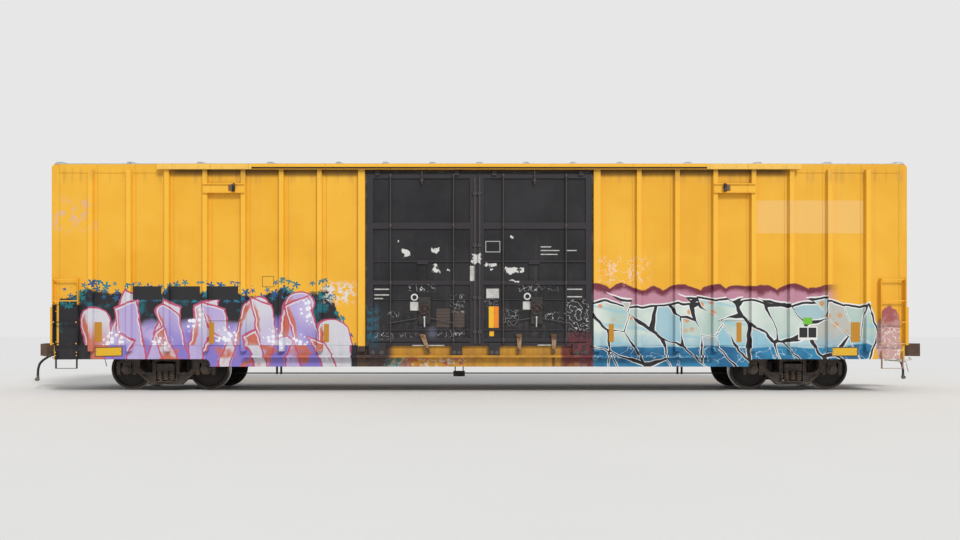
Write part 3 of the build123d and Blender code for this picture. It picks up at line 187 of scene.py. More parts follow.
class Paint(Tree):
    """A material, with the place on the object and the colour so far."""

    def __init__(self, name, colour):
        self.material = bpy.data.materials.new(name)
        super().__init__(self.material)
        self.colour = colour
        self.place = self.node("TexCoord", out="Object")
        parts = self.node("SeparateXYZ", (self.place,)).socket.node.outputs
        self.x, self.y, self.z = [Value(self, part) for part in parts]

    def mix(self, a, b, share):
        return self.node("Mix", {0: share, 6: a, 7: b}, 2, data_type="RGBA", clamp_factor=True)

    def coat(self, colour, share):
        """One more colour over the colour so far."""
        self.colour = self.mix(self.colour, colour, share)

    def vector(self, x, y, z):
        return self.node("CombineXYZ", (x, y, z))

    def noise(self, scale, detail=3.0, rough=0.55, at=None, stretch=None):
        if stretch:
            at = self.vector(self.x * stretch[0], self.y * stretch[1], self.z * stretch[2])
        items = {"Vector": at or self.place, "Scale": scale, "Detail": detail, "Roughness": rough}
        return self.node("TexNoise", items)

    def lines(self, wide, thin, *noise):
        """Thin wandering lines: 1 along them."""
        return abs(self.noise(*noise) - 0.5).ramp(wide, thin)

    def cells(self, scale, at=None, feature="F1", spread=1.0):
        items = {"Vector": at or self.place, "Scale": scale, "Randomness": spread}
        kind = "2D" if at else "3D"
        first = self.node("TexVoronoi", items, voronoi_dimensions=kind, feature=feature)
        return {slot.name: Value(self, slot) for slot in first.socket.node.outputs}

    def part(self, vector, axis):
        return self.node("SeparateXYZ", (vector,), axis)

    def channel(self, colour, index):
        return self.node("SeparateColor", (colour,), index)

    def edge(self, width):
        """1 on outward and inward edges, 0 on flat faces."""
        bevel = self.node("Bevel", {"Radius": width}, samples=4)
        normal = self.node("NewGeometry", out="Normal")
        dot = self.node("VectorMath", (bevel, normal), "Value", operation="DOT_PRODUCT")
        return (1.0 - dot).ramp(0.01, 0.12)

    def box(self, x0, x1, z0, z1, soft=0.004):
        return self.x.within(x0, x1, soft) * self.z.within(z0, z1, soft)

    def boxes(self, rows, soft=0.004):
        """1 inside any of the boxes, given above the rail."""
        return any_of(self.box(x0, x1, RAIL + z0, RAIL + z1, soft) for x0, x1, z0, z1 in rows)

    def finish(self, rough=0.5, metal=0.0, height=None, depth=0.002, round_edge=0.004, shine=0.5):
        shader = self.node("BsdfPrincipled", {
            "Base Color": self.colour, "Roughness": rough, "Metallic": metal, "Specular IOR Level": shine,
        })
        output = self.nodes.new("ShaderNodeOutputMaterial")
        normal = self.node("Bevel", {"Radius": round_edge}, samples=4)
        if height is not None:
            normal = self.node("Bump", {"Distance": depth, "Height": height, "Normal": normal})
        self.plug(normal, shader.socket.node.inputs["Normal"])
        self.plug(shader, output.inputs[0])
        return self.material


def any_of(masks):
    return reduce(Value.high, masks)


def length(a, b):
    return (a * a + b * b).sum("SQRT")


def make_light():
    """An even pale sky, and a wide soft sun from the right, in front and above."""
    scene.world = bpy.data.worlds.new("studio")
    tree = Tree(scene.world)
    output = tree.nodes.new("ShaderNodeOutputWorld")
    lit = tree.node("Background", {"Color": (0.93, 0.96, 1.0), "Strength": 0.60})
    seen = tree.node("Background", {"Color": (0.80, 0.80, 0.80), "Strength": 1.0})
    camera_ray = tree.node("LightPath", out="Is Camera Ray")
    tree.plug(tree.node("MixShader", (camera_ray, lit, seen)), output.inputs[0])

    data = bpy.data.lights.new("sun", "SUN")
    data.energy = 1.9
    data.angle = math.radians(14.0)
    data.color = (1.0, 0.97, 0.92)
    sun = add_object("sun", data)
    sun.rotation_euler = Vector((-0.36, 0.70, -0.72)).to_track_quat("-Z", "Y").to_euler()


make_light()


# Colours and paintings

YELLOW = (0.80, 0.402, 0.022)
YELLOW_LIGHT = (0.87, 0.47, 0.040)
RUST = (0.16, 0.055, 0.02)
RUST_DARK = (0.05, 0.022, 0.012)
DUST = (0.30, 0.25, 0.20)
CHARCOAL = (0.020, 0.019, 0.024)
BLACK = (0.022, 0.022, 0.024)

LILAC = (0.47, 0.39, 0.66)
VIOLET = (0.23, 0.18, 0.56)
PALE = (0.62, 0.62, 0.68)
ROSE = (0.50, 0.09, 0.17)
SALMON = (0.55, 0.15, 0.10)

# Painted slabs on the left of the near side: foot x, tip height, half width, lean, slope of the top,
# tip and foot colours. A slope of None gives a round tip.
SLABS = [
    (-8.36, 1.86, 0.34, -0.12, None, PALE, SALMON),
    (-8.05, 2.22, 0.24, 0.34, 0.5, PALE, VIOLET),
    (-7.62, 1.98, 0.30, -0.16, -0.3, LILAC, LILAC),
    (-7.08, 2.02, 0.26, 0.30, 0.4, PALE, LILAC),
    (-6.62, 1.96, 0.26, -0.34, None, LILAC, VIOLET),
    (-6.12, 2.04, 0.30, 0.10, -0.3, PALE, LILAC),
    (-5.60, 1.96, 0.28, -0.26, 0.3, LILAC, PALE),
    (-5.16, 2.12, 0.30, 0.26, None, PALE, VIOLET),
    (-4.62, 2.06, 0.26, -0.18, 0.4, PALE, LILAC),
    (-4.14, 2.22, 0.34, 0.16, None, LILAC, LILAC),
    (-3.72, 2.06, 0.34, -0.30, -0.4, LILAC, VIOLET),
    (-3.12, 1.64, 0.36, -0.24, None, PALE, PALE),
    (-7.86, 1.30, 0.22, 0.42, 0.5, LILAC, VIOLET),
    (-6.88, 1.42, 0.20, -0.40, -0.6, SALMON, PALE),
    (-5.86, 1.30, 0.24, 0.36, 0.4, VIOLET, VIOLET),
    (-4.92, 1.38, 0.18, -0.30, -0.5, SALMON, PALE),
    (-4.36, 1.24, 0.22, 0.30, None, PALE, VIOLET),
    (-3.46, 1.22, 0.20, -0.44, 0.5, SALMON, PALE),
]
SLAB_FOOT = 0.9
# The middles of the patches of bubbles, as x and z
BUBBLE_PATCHES = [
    (-8.05, 1.10), (-7.0, 0.98), (-6.30, 1.62), (-5.55, 1.16), (-4.50, 1.12), (-3.72, 1.80), (-4.0, 1.0),
]


def splats(t, flat, scale, size):
    """Star-shaped drops, one in each cell."""
    cell = t.cells(scale, flat)
    dx = t.x - t.part(cell["Position"], 0)
    dz = t.z - t.part(cell["Position"], 1)
    turn = t.math("ARCTAN2", dz, dx) * 5.0 + t.channel(cell["Color"], 1) * 6.0
    reach = (turn.sine() * 0.42 + 0.72) * (t.channel(cell["Color"], 2) * 0.7 + 0.5) * size
    return (length(dx, dz) - reach).ramp(0.008, -0.008)


def above_steps(t):
    """Keeps a painting off the steps below the ends of the sill."""
    return t.z.ramp(0.715, 0.725).high(abs(t.x).ramp(6.1, 6.0))


def slabs(t, flat, span):
    """Slabs with salmon shading and a double border, on violet low down. Gives what they cover."""
    x = t.x + (t.noise(1.6, 3.0, 0.6, flat) - 0.5) * 0.26
    z = t.z + (t.noise(1.3, 2.0, 0.5, flat) - 0.5) * 0.18
    spray = t.noise(0.9, 3.0, 0.6, flat)
    drawn = (z + (spray - 0.5) * 0.8).ramp(1.66, 1.40) * t.x.within(-8.56, -3.0, 0.02) * span
    t.coat(t.mix(VIOLET, LILAC, spray.ramp(0.42, 0.56)), drawn)
    for mid_x, tip, half, lean, slope, high, low in SLABS:
        across = x - mid_x - (z - SLAB_FOOT) * lean
        if slope is None:
            away = length(across, (z - (tip - half)).high(0.0)) - half
        else:
            away = (abs(across) - half * 0.9).high((z - tip + 0.04 + across * slope) * 0.85)
        body = t.mix(low, high, (t.z - 0.75 + (spray - 0.5) * 0.9).ramp(0.05, tip - 0.95))
        side = (across + half * 0.55 + (spray - 0.5) * 0.35).ramp(0.03, -0.02)
        body = t.mix(body, SALMON, side * t.z.ramp(tip, tip - 0.3))
        body = t.mix(body, (0.66, 0.63, 0.70), abs(away + 0.048).ramp(0.020, 0.010))
        body = t.mix(body, ROSE, away.ramp(-0.040, -0.030))
        t.coat(body, away.ramp(0.006, -0.006) * span)
        drawn = drawn.high(away.ramp(-0.05, -0.08) * span)
    return drawn


def left_painting(t):
    """Leaning slabs with bubbles, in front of a dark cloud with teal drops. Gives what it covers."""
    flat = t.vector(t.x, t.z, 0.0)
    fuzz = t.noise(5.5, 6.0, 0.75, flat)
    span = t.x.ramp(-9.5, -9.38) * t.x.ramp(-2.60, -2.72) * above_steps(t)
    hills = t.noise(1.1, 2.0, 0.5, t.vector(t.x, 0.0, 0.0)) * 0.7 + 1.84
    over = t.z - hills.low(hills - (t.x + 3.30) * 2.3).low(hills + (t.x + 8.5) * 0.25)
    cloud = (over + (fuzz - 0.5) * 0.34).ramp(0.03, -0.03) * span
    t.coat(t.mix(CHARCOAL, (0.012, 0.13, 0.17), t.noise(2.4, 4.0, 0.6, flat).ramp(0.53, 0.70)), cloud)
    band = abs(over - 0.02).ramp(0.30, 0.16) * span
    drops = splats(t, flat, 5.2, 0.085) * (band * (fuzz * 0.6 + 0.7)).ramp(0.42, 0.5)
    blend = t.noise(3.0, 2.0, 0.5, flat).ramp(0.45, 0.6)
    t.coat(t.mix((0.012, 0.20, 0.24), (0.02, 0.10, 0.26), blend), drops)
    # white scratches over the right end of the cloud
    burst = t.box(-3.42, -2.74, 1.98, 2.38, 0.12) * t.noise(9.0, 3.0, 0.7, flat).ramp(0.48, 0.54)
    t.coat((0.72, 0.68, 0.66), burst)
    drawn = slabs(t, flat, span)
    glow = any_of(length(t.x - mid_x, t.z - mid_z).ramp(0.42, 0.06) for mid_x, mid_z in BUBBLE_PATCHES)
    within = glow * drawn
    t.coat((0.66, 0.62, 0.84), within * 0.45)
    dots = t.cells(8.5, flat, spread=0.85)["Distance"]
    t.coat((0.82, 0.83, 0.88), (dots - glow * 0.40).ramp(0.02, -0.03) * within.ramp(0.1, 0.2))
    return cloud.high(drawn)


def left_foot(t):
    """The lowest part of the left painting, for the sill, the ledge and the ladder."""
    flat = t.vector(t.x, t.z, 0.0)
    x = t.x + (t.noise(1.6, 3.0, 0.6, flat) - 0.5) * 0.26
    spray = t.noise(0.9, 3.0, 0.6, flat)
    whole = t.x.within(-9.40, -2.66, 0.03) * t.z.ramp(1.95, 1.90) * above_steps(t)
    t.coat(CHARCOAL, whole)
    shown = t.x.within(-8.56, -2.82, 0.02) * above_steps(t)
    body = t.mix(VIOLET, LILAC, spray.ramp(0.42, 0.56))
    for mid_x, _, half, lean, _, _, low in SLABS:
        across = abs(x - mid_x - (t.z - SLAB_FOOT) * lean) - half * 0.9
        body = t.mix(body, t.mix(low, SALMON, spray.ramp(0.54, 0.60)), across.ramp(-0.04, -0.05))
        body = t.mix(body, ROSE, abs(across + 0.02).ramp(0.024, 0.014))
    t.coat(body, shown)
    return whole


def facets(t, flat, fuzz, hill, tile, seam, inner):
    """Pale tiles with a blue foot, in uneven dark and white seams."""
    pick = t.channel(tile, 0)
    other = t.channel(tile, 1)
    body = t.mix((0.43, 0.56, 0.51), (0.67, 0.73, 0.68), t.noise(0.9, 2.0, 0.5, flat).ramp(0.35, 0.65))
    body = t.mix(body, (0.28, 0.52, 0.64), pick.ramp(0.66, 0.70) * 0.8)
    body = t.mix(body, (0.50, 0.48, 0.42), pick.ramp(0.82, 0.84) * 0.9)
    body = t.mix(body, (0.20, 0.46, 0.62), (t.z + (fuzz - 0.5) * 0.6).ramp(1.38, 1.0) * 0.55)
    streak = (t.z * 16.0 + t.x * 2.2 + hill * 6.0).sine().ramp(0.75, 0.9) * other.ramp(0.45, 0.4)
    body = t.mix(body, (0.26, 0.52, 0.66), streak * 0.55)
    foot = (t.z + t.noise(0.9, 1.0, 0.5, flat) * 0.3).ramp(1.17, 1.14)
    blue = t.mix((0.010, 0.11, 0.25), (0.028, 0.22, 0.40), t.noise(1.4, 3.0, 0.6, flat).ramp(0.35, 0.65))
    body = t.mix(body, blue, foot)
    body = t.mix(body, (0.60, 0.74, 0.80), t.lines(0.009, 0.004, 2.6, 2.0, 0.5, flat) * foot * 0.6)
    spot = t.cells(2.6, flat)["Distance"].ramp(0.17, 0.12) * t.noise(0.7, 1.0, 0.5, flat).ramp(0.50, 0.54)
    body = t.mix(body, (0.68, 0.25, 0.05), spot * t.z.ramp(1.2, 1.5) * 0.85)
    width = t.noise(0.9, 1.0, 0.5, flat).ramp(0.40, 0.66) * 0.075 + 0.004
    line = (seam - width * (1.0 - foot * 0.4)).low(inner - 0.045)
    body = t.mix(body, (0.80, 0.83, 0.83), line.ramp(0.030, 0.022))
    return t.mix(body, CHARCOAL, line.ramp(0.008, 0.0))


def right_painting(t):
    """Facets before a wine-red cloud, and a pink oval at the right end. Gives what it covers."""
    flat = t.vector(t.x, t.z, 0.0)
    fuzz = t.noise(4.5, 5.0, 0.7, flat)
    hill = t.noise(0.75, 2.0, 0.5, flat)
    ends = t.x.ramp(2.16, 2.2) * above_steps(t)
    puff = abs((t.x * 3.6 + hill * 9.0).sine())
    crest = t.z - hill * 0.34 - fuzz * 0.10 - puff * 0.13
    cloud = crest.ramp(2.035, 2.01) * ends * t.x.ramp(8.0, 7.5)
    t.coat(t.mix((0.17, 0.028, 0.05), (0.50, 0.24, 0.32), (crest + fuzz * 0.3).ramp(2.10, 1.98)), cloud)
    bend = t.noise(1.7, 2.0, 0.5, flat)
    slant = t.vector(t.x * 0.95 + t.z * 0.55 + bend * 0.35, t.z * 0.66 - t.x * 0.06 + bend * 0.2, 0.0)
    tile = t.cells(1.95, slant, spread=0.95)["Color"]
    seam = t.cells(1.95, slant, "DISTANCE_TO_EDGE", 0.95)["Distance"] * 0.8 + (fuzz - 0.5) * 0.02
    # a jagged upper edge and a bent right one
    teeth = abs((t.x * 0.62 + 0.3).wrap(1.0) - 0.5) * 0.30 + t.channel(tile, 2) * 0.16
    top = teeth + 1.86 - t.z + (bend - 0.5) * 0.2
    right = 8.80 - t.x + abs(t.z - 1.25) * -0.35 + (bend - 0.5) * 0.3
    inner = top.low(right)
    filled = inner.ramp(-0.004, 0.004) * ends
    body = facets(t, flat, fuzz, hill, tile, seam, inner)
    t.coat((0.80, 0.80, 0.80), inner.ramp(-0.034, -0.026) * ends * t.x.ramp(8.9, 8.8))
    t.coat(body, filled)
    oval = length((t.x - 9.02) / 0.28, (t.z - 1.15) / 0.80)
    blob = (oval + (fuzz - 0.5) * 0.5).ramp(1.02, 0.94) * t.z.ramp(0.715, 0.725)
    pink = t.mix((0.36, 0.10, 0.10), (0.56, 0.34, 0.32), (t.z + (fuzz - 0.5) * 1.2).ramp(1.75, 1.3))
    scrawl = t.lines(0.02, 0.008, 6.0, 2.0, 0.5, flat) * t.z.ramp(1.5, 1.4)
    t.coat(t.mix(pink, (0.82, 0.74, 0.70), scrawl), blob)
    # red and pale specks at the left end
    specks = t.box(2.2, 2.5, 1.7, 2.5, 0.1) * t.noise(12.0, 2.0, 0.6, flat).ramp(0.55, 0.6)
    t.coat((0.45, 0.10, 0.03), specks * 0.8)
    chalk = t.lines(0.018, 0.008, 4.5, 2.0, 0.5, flat) * t.box(2.62, 3.72, 2.36, 2.98, 0.1)
    t.coat((0.85, 0.62, 0.52), chalk * 0.75)
    return cloud.high(filled).high(blob)


# Blank panels on the near wall as x from, x to, z from, z to
BLACK_PANELS = [(-7.63, -7.0, 2.03, 2.33), (-6.84, -6.15, 2.03, 2.33), (-5.98, -5.31, 2.03, 2.33)]

# Marks on the near doors as x from, x to, z from, z to, above the rail
SCRAPS = [
    (-1.71, -1.53, 2.96, 3.11), (-1.09, -0.86, 3.05, 3.14), (-1.00, -0.89, 2.61, 2.79),
    (-0.17, 0.03, 2.80, 3.02), (0.127, 0.39, 2.74, 2.81), (0.584, 0.928, 2.59, 2.71),
    (0.24, 0.30, 2.64, 2.69), (0.66, 0.90, 2.40, 2.43), (-0.66, -0.62, 2.62, 2.65),
    (-1.80, -1.76, 3.28, 3.32), (0.68, 0.74, 3.38, 3.42),
]
BLANK_LABELS = [
    (-0.206, -0.108, 2.42, 2.75), (0.155, 0.432, 2.04, 2.25), (-1.522, -1.335, 1.77, 1.96),
    (0.958, 1.145, 1.79, 1.97), (-2.31, -1.98, 2.225, 2.25), (-2.31, -1.98, 2.10, 2.125),
    (-2.31, -2.12, 2.02, 2.045), (1.93, 2.26, 2.225, 2.25), (1.93, 2.26, 2.06, 2.085),
    (1.35, 1.58, 3.16, 3.18), (1.35, 1.76, 3.08, 3.10), (1.90, 2.14, 3.08, 3.10),
    (1.35, 1.72, 2.995, 3.015), (-1.47, -0.77, 0.99, 1.012), (1.28, 1.62, 1.0, 1.02),
]
SLATS = [(-0.943, -0.646, 1.405, 1.81), (-0.575, -0.33, 1.405, 1.765)]
# The same columns and the strength of the scrawl
SCRAWL_PATCHES = [
    (-1.55, -0.98, 2.20, 2.33, 1.0), (-0.63, -0.32, 1.72, 2.12, 0.5), (-2.02, -1.78, 1.62, 1.74, 0.8),
    (0.86, 1.36, 2.20, 2.33, 1.0), (1.36, 1.78, 2.20, 2.30, 0.35), (0.12, 0.42, 1.88, 2.02, 0.6),
    (1.92, 2.40, 1.32, 2.00, 1.0), (0.52, 0.86, 1.42, 1.80, 0.5), (1.42, 1.90, 1.58, 1.72, 0.8),
    (-2.30, -1.90, 1.13, 1.28, 0.7), (-0.92, -0.34, 1.18, 1.32, 0.8), (-1.85, -1.4, 1.19, 1.27, 0.5),
]
# The middles of two rings, as x and z
RINGS = [(-1.427, RAIL + 2.06), (1.057, RAIL + 2.08)]
RING_RADIUS = 0.064


def blank_marks(t, near):
    """Black panels, a small outlined square, the upper plates' edges, a stencil panel and a green patch."""
    t.coat(BLACK, any_of(t.box(*panel) for panel in BLACK_PANELS) * near)
    ring = t.box(-4.785, -4.52, 2.31, 2.555) - t.box(-4.77, -4.535, 2.325, 2.54)
    plate_edge = t.z.within(1.560, 1.574, 0.004) * abs(t.x).within(5.245, 5.965, 0.005)
    t.coat((0.10, 0.05, 0.02), ring.high(plate_edge) * near * 0.8)
    panel = t.box(7.02, 7.445, 1.15, 1.445)
    hole = t.box(7.045, 7.225, 1.2, 1.42).high(t.box(7.245, 7.42, 1.2, 1.42))
    t.coat((0.78, 0.78, 0.76), panel * near)
    t.coat((0.02, 0.02, 0.022), hole * near)
    t.coat((0.16, 0.50, 0.04), t.box(7.13, 7.33, 1.49, 1.64) * near)


def sill_smears(t, near):
    """A dark left end, a red right end and wisps of old paint on the middle of the near sill."""
    sill = t.z.ramp(1.03, 1.0) * near
    smear = t.noise(2.4, 5.0, 0.7).ramp(0.40, 0.56)
    left_end = t.x.ramp(-1.85, -2.02) * t.x.ramp(-2.72, -2.64)
    t.coat((0.035, 0.022, 0.030), sill * left_end * (smear * 0.07 + 0.92))
    t.coat((0.15, 0.025, 0.03), sill * t.x.within(1.80, 2.5, 0.05) * (smear * 0.4 + 0.6))
    below = t.z.ramp(0.77, 0.75) * t.x.within(-2.0, -0.3, 0.15) * near
    t.coat((0.62, 0.55, 0.52), below * t.lines(0.03, 0.012, 5.0, 3.0, 0.6))
    t.coat((0.40, 0.05, 0.05), below * t.noise(3.0, 3.0, 0.6).ramp(0.57, 0.62) * 0.7)
    t.coat((0.01, 0.16, 0.18), below * t.x.ramp(-1.5, -1.8) * smear)
    drip = t.x.within(1.60, 1.67, 0.01) * below.high(t.z.ramp(0.77, 0.75) * near)
    t.coat(RUST, drip * 0.8)


def body_paint(name, left=None, right=None):
    """Weathered yellow, with the paintings given on the near side."""
    t = Paint(name, YELLOW)
    broad = t.noise(0.55, 3.0, 0.6)
    fine = t.noise(7.0, 5.0, 0.65)
    streak = t.noise(2.2, 4.0, 0.6, stretch=(3.0, 3.0, 0.16))
    t.coat(YELLOW_LIGHT, broad.ramp(0.3, 0.7))
    t.coat((0.70, 0.36, 0.05), streak.ramp(0.52, 0.75) * 0.35)
    t.coat((0.86, 0.52, 0.14), fine.ramp(0.55, 0.8) * 0.15)
    # painted highlight on the faces of the posts and other proud parts, whose paint has also faded more
    proud = abs(t.y).ramp(1.572, 1.578) * t.z.ramp(0.93, 0.95)
    t.coat((0.93, 0.52, 0.050), proud * 0.55)
    pale = t.box(6.1, 8.46, RAIL + 3.468, RAIL + 4.192, 0.01)
    near = t.y.ramp(-1.46, -1.47)
    t.coat((0.84, 0.51, 0.15), pale * near * 0.8)

    # the covers at the ends of the hood have faded more
    cover = abs(t.x).within(4.985, 7.06) * abs(t.y).ramp(1.6, 1.61) * t.z.ramp(4.8, 4.85)
    t.coat((0.88, 0.54, 0.11), cover * 0.8)

    # painted shade in the groove along the hood, and the dark head over the doors
    hood = abs(t.y).ramp(1.6, 1.61) * abs(t.x).ramp(4.985, 4.980)
    t.coat((0.045, 0.014, 0.004), hood * t.z.within(RAIL + 4.867, RAIL + 4.909))
    head = abs(t.x).ramp(2.512, 2.506) * t.z.within(4.79, 4.882, 0.002) * abs(t.y).ramp(1.605, 1.6)
    t.coat((0.025, 0.022, 0.026), head)

    # sheet joints beside the posts
    bay = (abs(t.x) - FIRST_POST).wrap(POST_PITCH)
    joint = abs(bay - (POST_PITCH - 0.14)).ramp(0.006, 0.002) * abs(t.x).ramp(2.7, 2.72)
    joint = joint * t.z.ramp(RAIL + 0.99, RAIL + 1.0)
    t.coat((0.42, 0.21, 0.03), joint * 0.45)

    masks = []
    for picture, side, top in ((left, -2.0, 2.75), (right, 2.0, 3.1)):
        if picture:
            bare = t.colour
            mask = picture(t)
            where = near * t.x.ramp(side, side * 1.05)
            t.colour = t.mix(bare, t.colour, where * t.z.ramp(top, top - 0.05))
            masks.append(where * mask)
    painted = any_of(masks) if masks else near * 0.0

    # faint violet overspray near the left end
    haze = t.box(-9.38, -8.45, 3.55, 4.3, 0.12) * t.noise(4.0, 4.0, 0.7).ramp(0.5, 0.62) * near
    t.coat((0.58, 0.42, 0.52), haze * 0.5)
    blank_marks(t, near)

    # the ledge and the strip under the doors are browner
    ledge = t.z.ramp(1.03, 1.0) * abs(t.x).ramp(2.6, 2.4)
    t.coat((0.34, 0.15, 0.025), ledge * (streak * 0.7 + 0.28))
    sill_smears(t, near)

    # grime low down, rust in specks and on edges, painted shade and a painted shadow under the hood, and a
    # painted highlight along the edges
    grime = (streak * 0.6 + fine * 0.4).ramp(0.45, 0.7) * t.z.ramp(1.9, 0.7)
    t.coat((0.13, 0.10, 0.08), grime * (0.35 - painted * 0.2))
    # brown streaks below the hood, with painted shade under it
    streaks_and_shade_under_hood = t.z.within(RAIL + 4.6, RAIL + 4.87, 0.1) * streak.ramp(0.45, 0.65)
    t.coat((0.40, 0.21, 0.06), streaks_and_shade_under_hood * 0.35)
    # painted shadow of the hood on the wall below it, weaker on the proud posts that stand out of it
    hood_shadow = t.z.ramp(4.70, 4.86) * abs(t.y).ramp(1.605, 1.6) * abs(t.x).ramp(7.0, 6.6)
    t.coat((0.055, 0.020, 0.006), hood_shadow * (0.85 - proud * 0.45))
    speck = t.noise(21.0, 3.0, 0.6).ramp(0.70, 0.735) * (t.noise(0.6, 2.0, 0.5).ramp(0.52, 0.7) + 0.1)
    t.coat(RUST, speck * 0.9)
    edge = t.edge(0.012)
    chip = edge * t.noise(9.0, 5.0, 0.7).ramp(0.56, 0.66)
    t.coat(RUST, chip * 0.75)
    # painted highlight along the edges outside the paintings
    t.coat(YELLOW_LIGHT, edge * (1.0 - painted) * 0.18)
    rust = speck.high(chip)
    rough = t.noise(3.0, 3.0, 0.6) * 0.16 + 0.38 + rust * 0.35 + grime * 0.15
    height = t.noise(1.3, 1.0, 0.4) * 3.0 + fine * 0.12 - rust * 0.2 + joint * 0.9
    return t.finish(rough, 0.0, height, 0.0035, 0.005, 0.35)


def step_paint():
    """Yellow bars, dark on the near left step and pink on the near right one."""
    t = Paint("step_paint", YELLOW)
    fine = t.noise(9.0, 5.0, 0.7)
    near = t.y.ramp(-1.40, -1.42)
    t.coat((0.62, 0.32, 0.05), fine.ramp(0.4, 0.65))
    t.coat((0.030, 0.028, 0.032), near * t.x.ramp(-8.0, -8.2))
    t.coat((0.50, 0.33, 0.30), near * t.x.ramp(8.0, 8.2) * 0.8)
    chip = (t.edge(0.01) * 0.4 + fine).ramp(0.62, 0.72)
    t.coat(RUST, chip * 0.8)
    return t.finish(chip * 0.3 + 0.45, 0.0, fine, 0.0012, 0.003)


def door_marks(t, near):
    """Torn remains of white labels, blank labels, a frame, rings and pale scrawl."""
    tear = t.noise(9.0, 3.0, 0.6)
    x = t.x + (t.noise(5.0, 4.0, 0.65) - 0.5) * 0.34
    z = t.z + (t.noise(6.0, 4.0, 0.65, stretch=(1.0, 0.0, 0.6)) - 0.5) * 0.26
    scraps = any_of(
        x.within(x0, x1, 0.005) * z.within(RAIL + z0, RAIL + z1, 0.005) for x0, x1, z0, z1 in SCRAPS
    )
    t.coat((0.66, 0.66, 0.64), scraps * tear.ramp(0.38, 0.42) * near)
    labels = t.boxes(BLANK_LABELS, 0.005)
    t.coat((0.62, 0.61, 0.58), labels * near * (0.75 + tear.ramp(0.4, 0.6) * 0.25))
    outline = t.boxes([(0.133, 0.461, 3.05, 3.30)]) - t.boxes([(0.150, 0.444, 3.068, 3.282)])
    t.coat((0.50, 0.50, 0.49), outline * near * 0.8)
    for mid_x, mid_z in RINGS:
        away = length(t.x - mid_x, t.z - mid_z)
        t.coat((0.68, 0.68, 0.66), abs(away - RING_RADIUS).ramp(0.018, 0.012) * near)
    scrawl = t.lines(0.016, 0.008, 8.0, 1.0, 0.5)
    where = any_of(
        t.box(x0, x1, RAIL + z0, RAIL + z1, 0.04) * share for x0, x1, z0, z1, share in SCRAWL_PATCHES
    )
    t.coat((0.60, 0.60, 0.60), scrawl * where * near)


def door_paint():
    """Weathered black, with bare marks and overspray on the near side."""
    t = Paint("door_paint", (0.010, 0.010, 0.012))
    broad = t.noise(0.8, 4.0, 0.65)
    streak = t.noise(2.6, 5.0, 0.65, stretch=(3.0, 3.0, 0.2))
    fine = t.noise(11.0, 5.0, 0.7)
    t.coat((0.021, 0.020, 0.023), broad.ramp(0.35, 0.65))
    t.coat((0.10, 0.085, 0.075), streak.ramp(0.55, 0.75) * t.z.ramp(4.6, 1.2) * 0.35)
    near = t.y.ramp(-1.46, -1.47)
    low_down = t.z.ramp(2.3, 1.1)
    t.coat((0.12, 0.105, 0.095), (streak * 0.5 + fine * 0.5).ramp(0.46, 0.62) * low_down * 0.3)
    raised = abs(t.y).ramp(DOOR_FACE_Y - 0.008, DOOR_FACE_Y - 0.002)
    t.coat((0.030, 0.027, 0.032), raised)
    proud = abs(t.y).ramp(DOOR_FACE_Y + 0.012, DOOR_FACE_Y + 0.018)
    proud = proud * t.z.ramp(1.06, 1.08) * t.z.ramp(4.80, 4.79)
    t.coat((0.058, 0.053, 0.052), proud)
    # painted shade along the top of the doors, under the hood
    t.coat((0.005, 0.004, 0.006), t.z.ramp(RAIL + 4.745, RAIL + 4.775) * 0.85)
    # overspray at the lower corners of the near side
    corner = t.x.within(-2.56, -2.24, 0.12) * t.z.within(1.06, 1.85, 0.16)
    t.coat((0.015, 0.11, 0.17), corner * near * fine.ramp(0.42, 0.56) * 0.9)
    corner = t.x.within(1.95, 2.6, 0.15) * t.z.within(0.8, 1.3, 0.12)
    t.coat((0.15, 0.030, 0.04), corner * near * fine.ramp(0.40, 0.56))
    mist = t.x.within(-1.12, -0.95, 0.07) * t.z.within(1.2, 1.42, 0.08)
    t.coat((0.10, 0.10, 0.14), mist * near)
    # brown dusty slats behind the rods
    slat = t.boxes(SLATS, 0.008)
    line = t.z.wrap(0.071).ramp(0.014, 0.020)
    t.coat((0.085, 0.062, 0.052), slat * (line * 0.6 + 0.4) * near)
    door_marks(t, near)
    chips = t.noise(17.0, 4.0, 0.7).ramp(0.69, 0.72)
    edge = t.edge(0.01)
    worn = edge * t.noise(8.0, 5.0, 0.7).ramp(0.5, 0.64)
    # painted highlight along the edges
    t.coat((0.065, 0.062, 0.068), edge * 0.35)
    t.coat(RUST, (chips * 0.8).high(worn * 0.6))
    rough = t.noise(3.0, 3.0, 0.6) * 0.2 + 0.36 + chips * 0.3
    height = t.noise(1.6, 1.0, 0.4) * 2.2 + fine * 0.15
    return t.finish(rough, 0.0, height, 0.0035, 0.004, 0.35)


def worn_metal(name, base, worn, dust_share, rust_share, rough=0.6, metal=0.0, grain=0.5):
    """Metal or paint with dust on what faces up, rust in blotches, and worn edges."""
    t = Paint(name, base)
    fine = t.noise(14.0, 6.0, 0.7)
    blotch = t.noise(3.2, 5.0, 0.65)
    t.coat(worn, t.noise(1.4, 4.0, 0.6).ramp(0.35, 0.65))
    rust = (blotch * 0.6 + fine * 0.4).ramp(0.5, 0.6) * rust_share
    t.coat(t.mix(RUST_DARK, RUST, fine.ramp(0.35, 0.65)), rust)
    upward = t.part(t.node("NewGeometry", out="Normal"), 2).ramp(0.2, 0.9)
    dust = (upward * 0.8 + fine.ramp(0.45, 0.7) * 0.45) * dust_share
    t.coat(DUST, dust)
    edge = t.edge(0.006)
    t.coat(t.mix(worn, (0.4, 0.36, 0.3), 0.35), edge * fine.ramp(0.4, 0.6) * 0.5)
    roughness = fine * 0.25 + rough - 0.1 + dust * 0.2
    metallic = (1.0 - rust.high(dust)) * metal if metal else 0.0
    return t.finish(roughness, metallic, fine * grain + blotch * 0.5, 0.0022, 0.005)


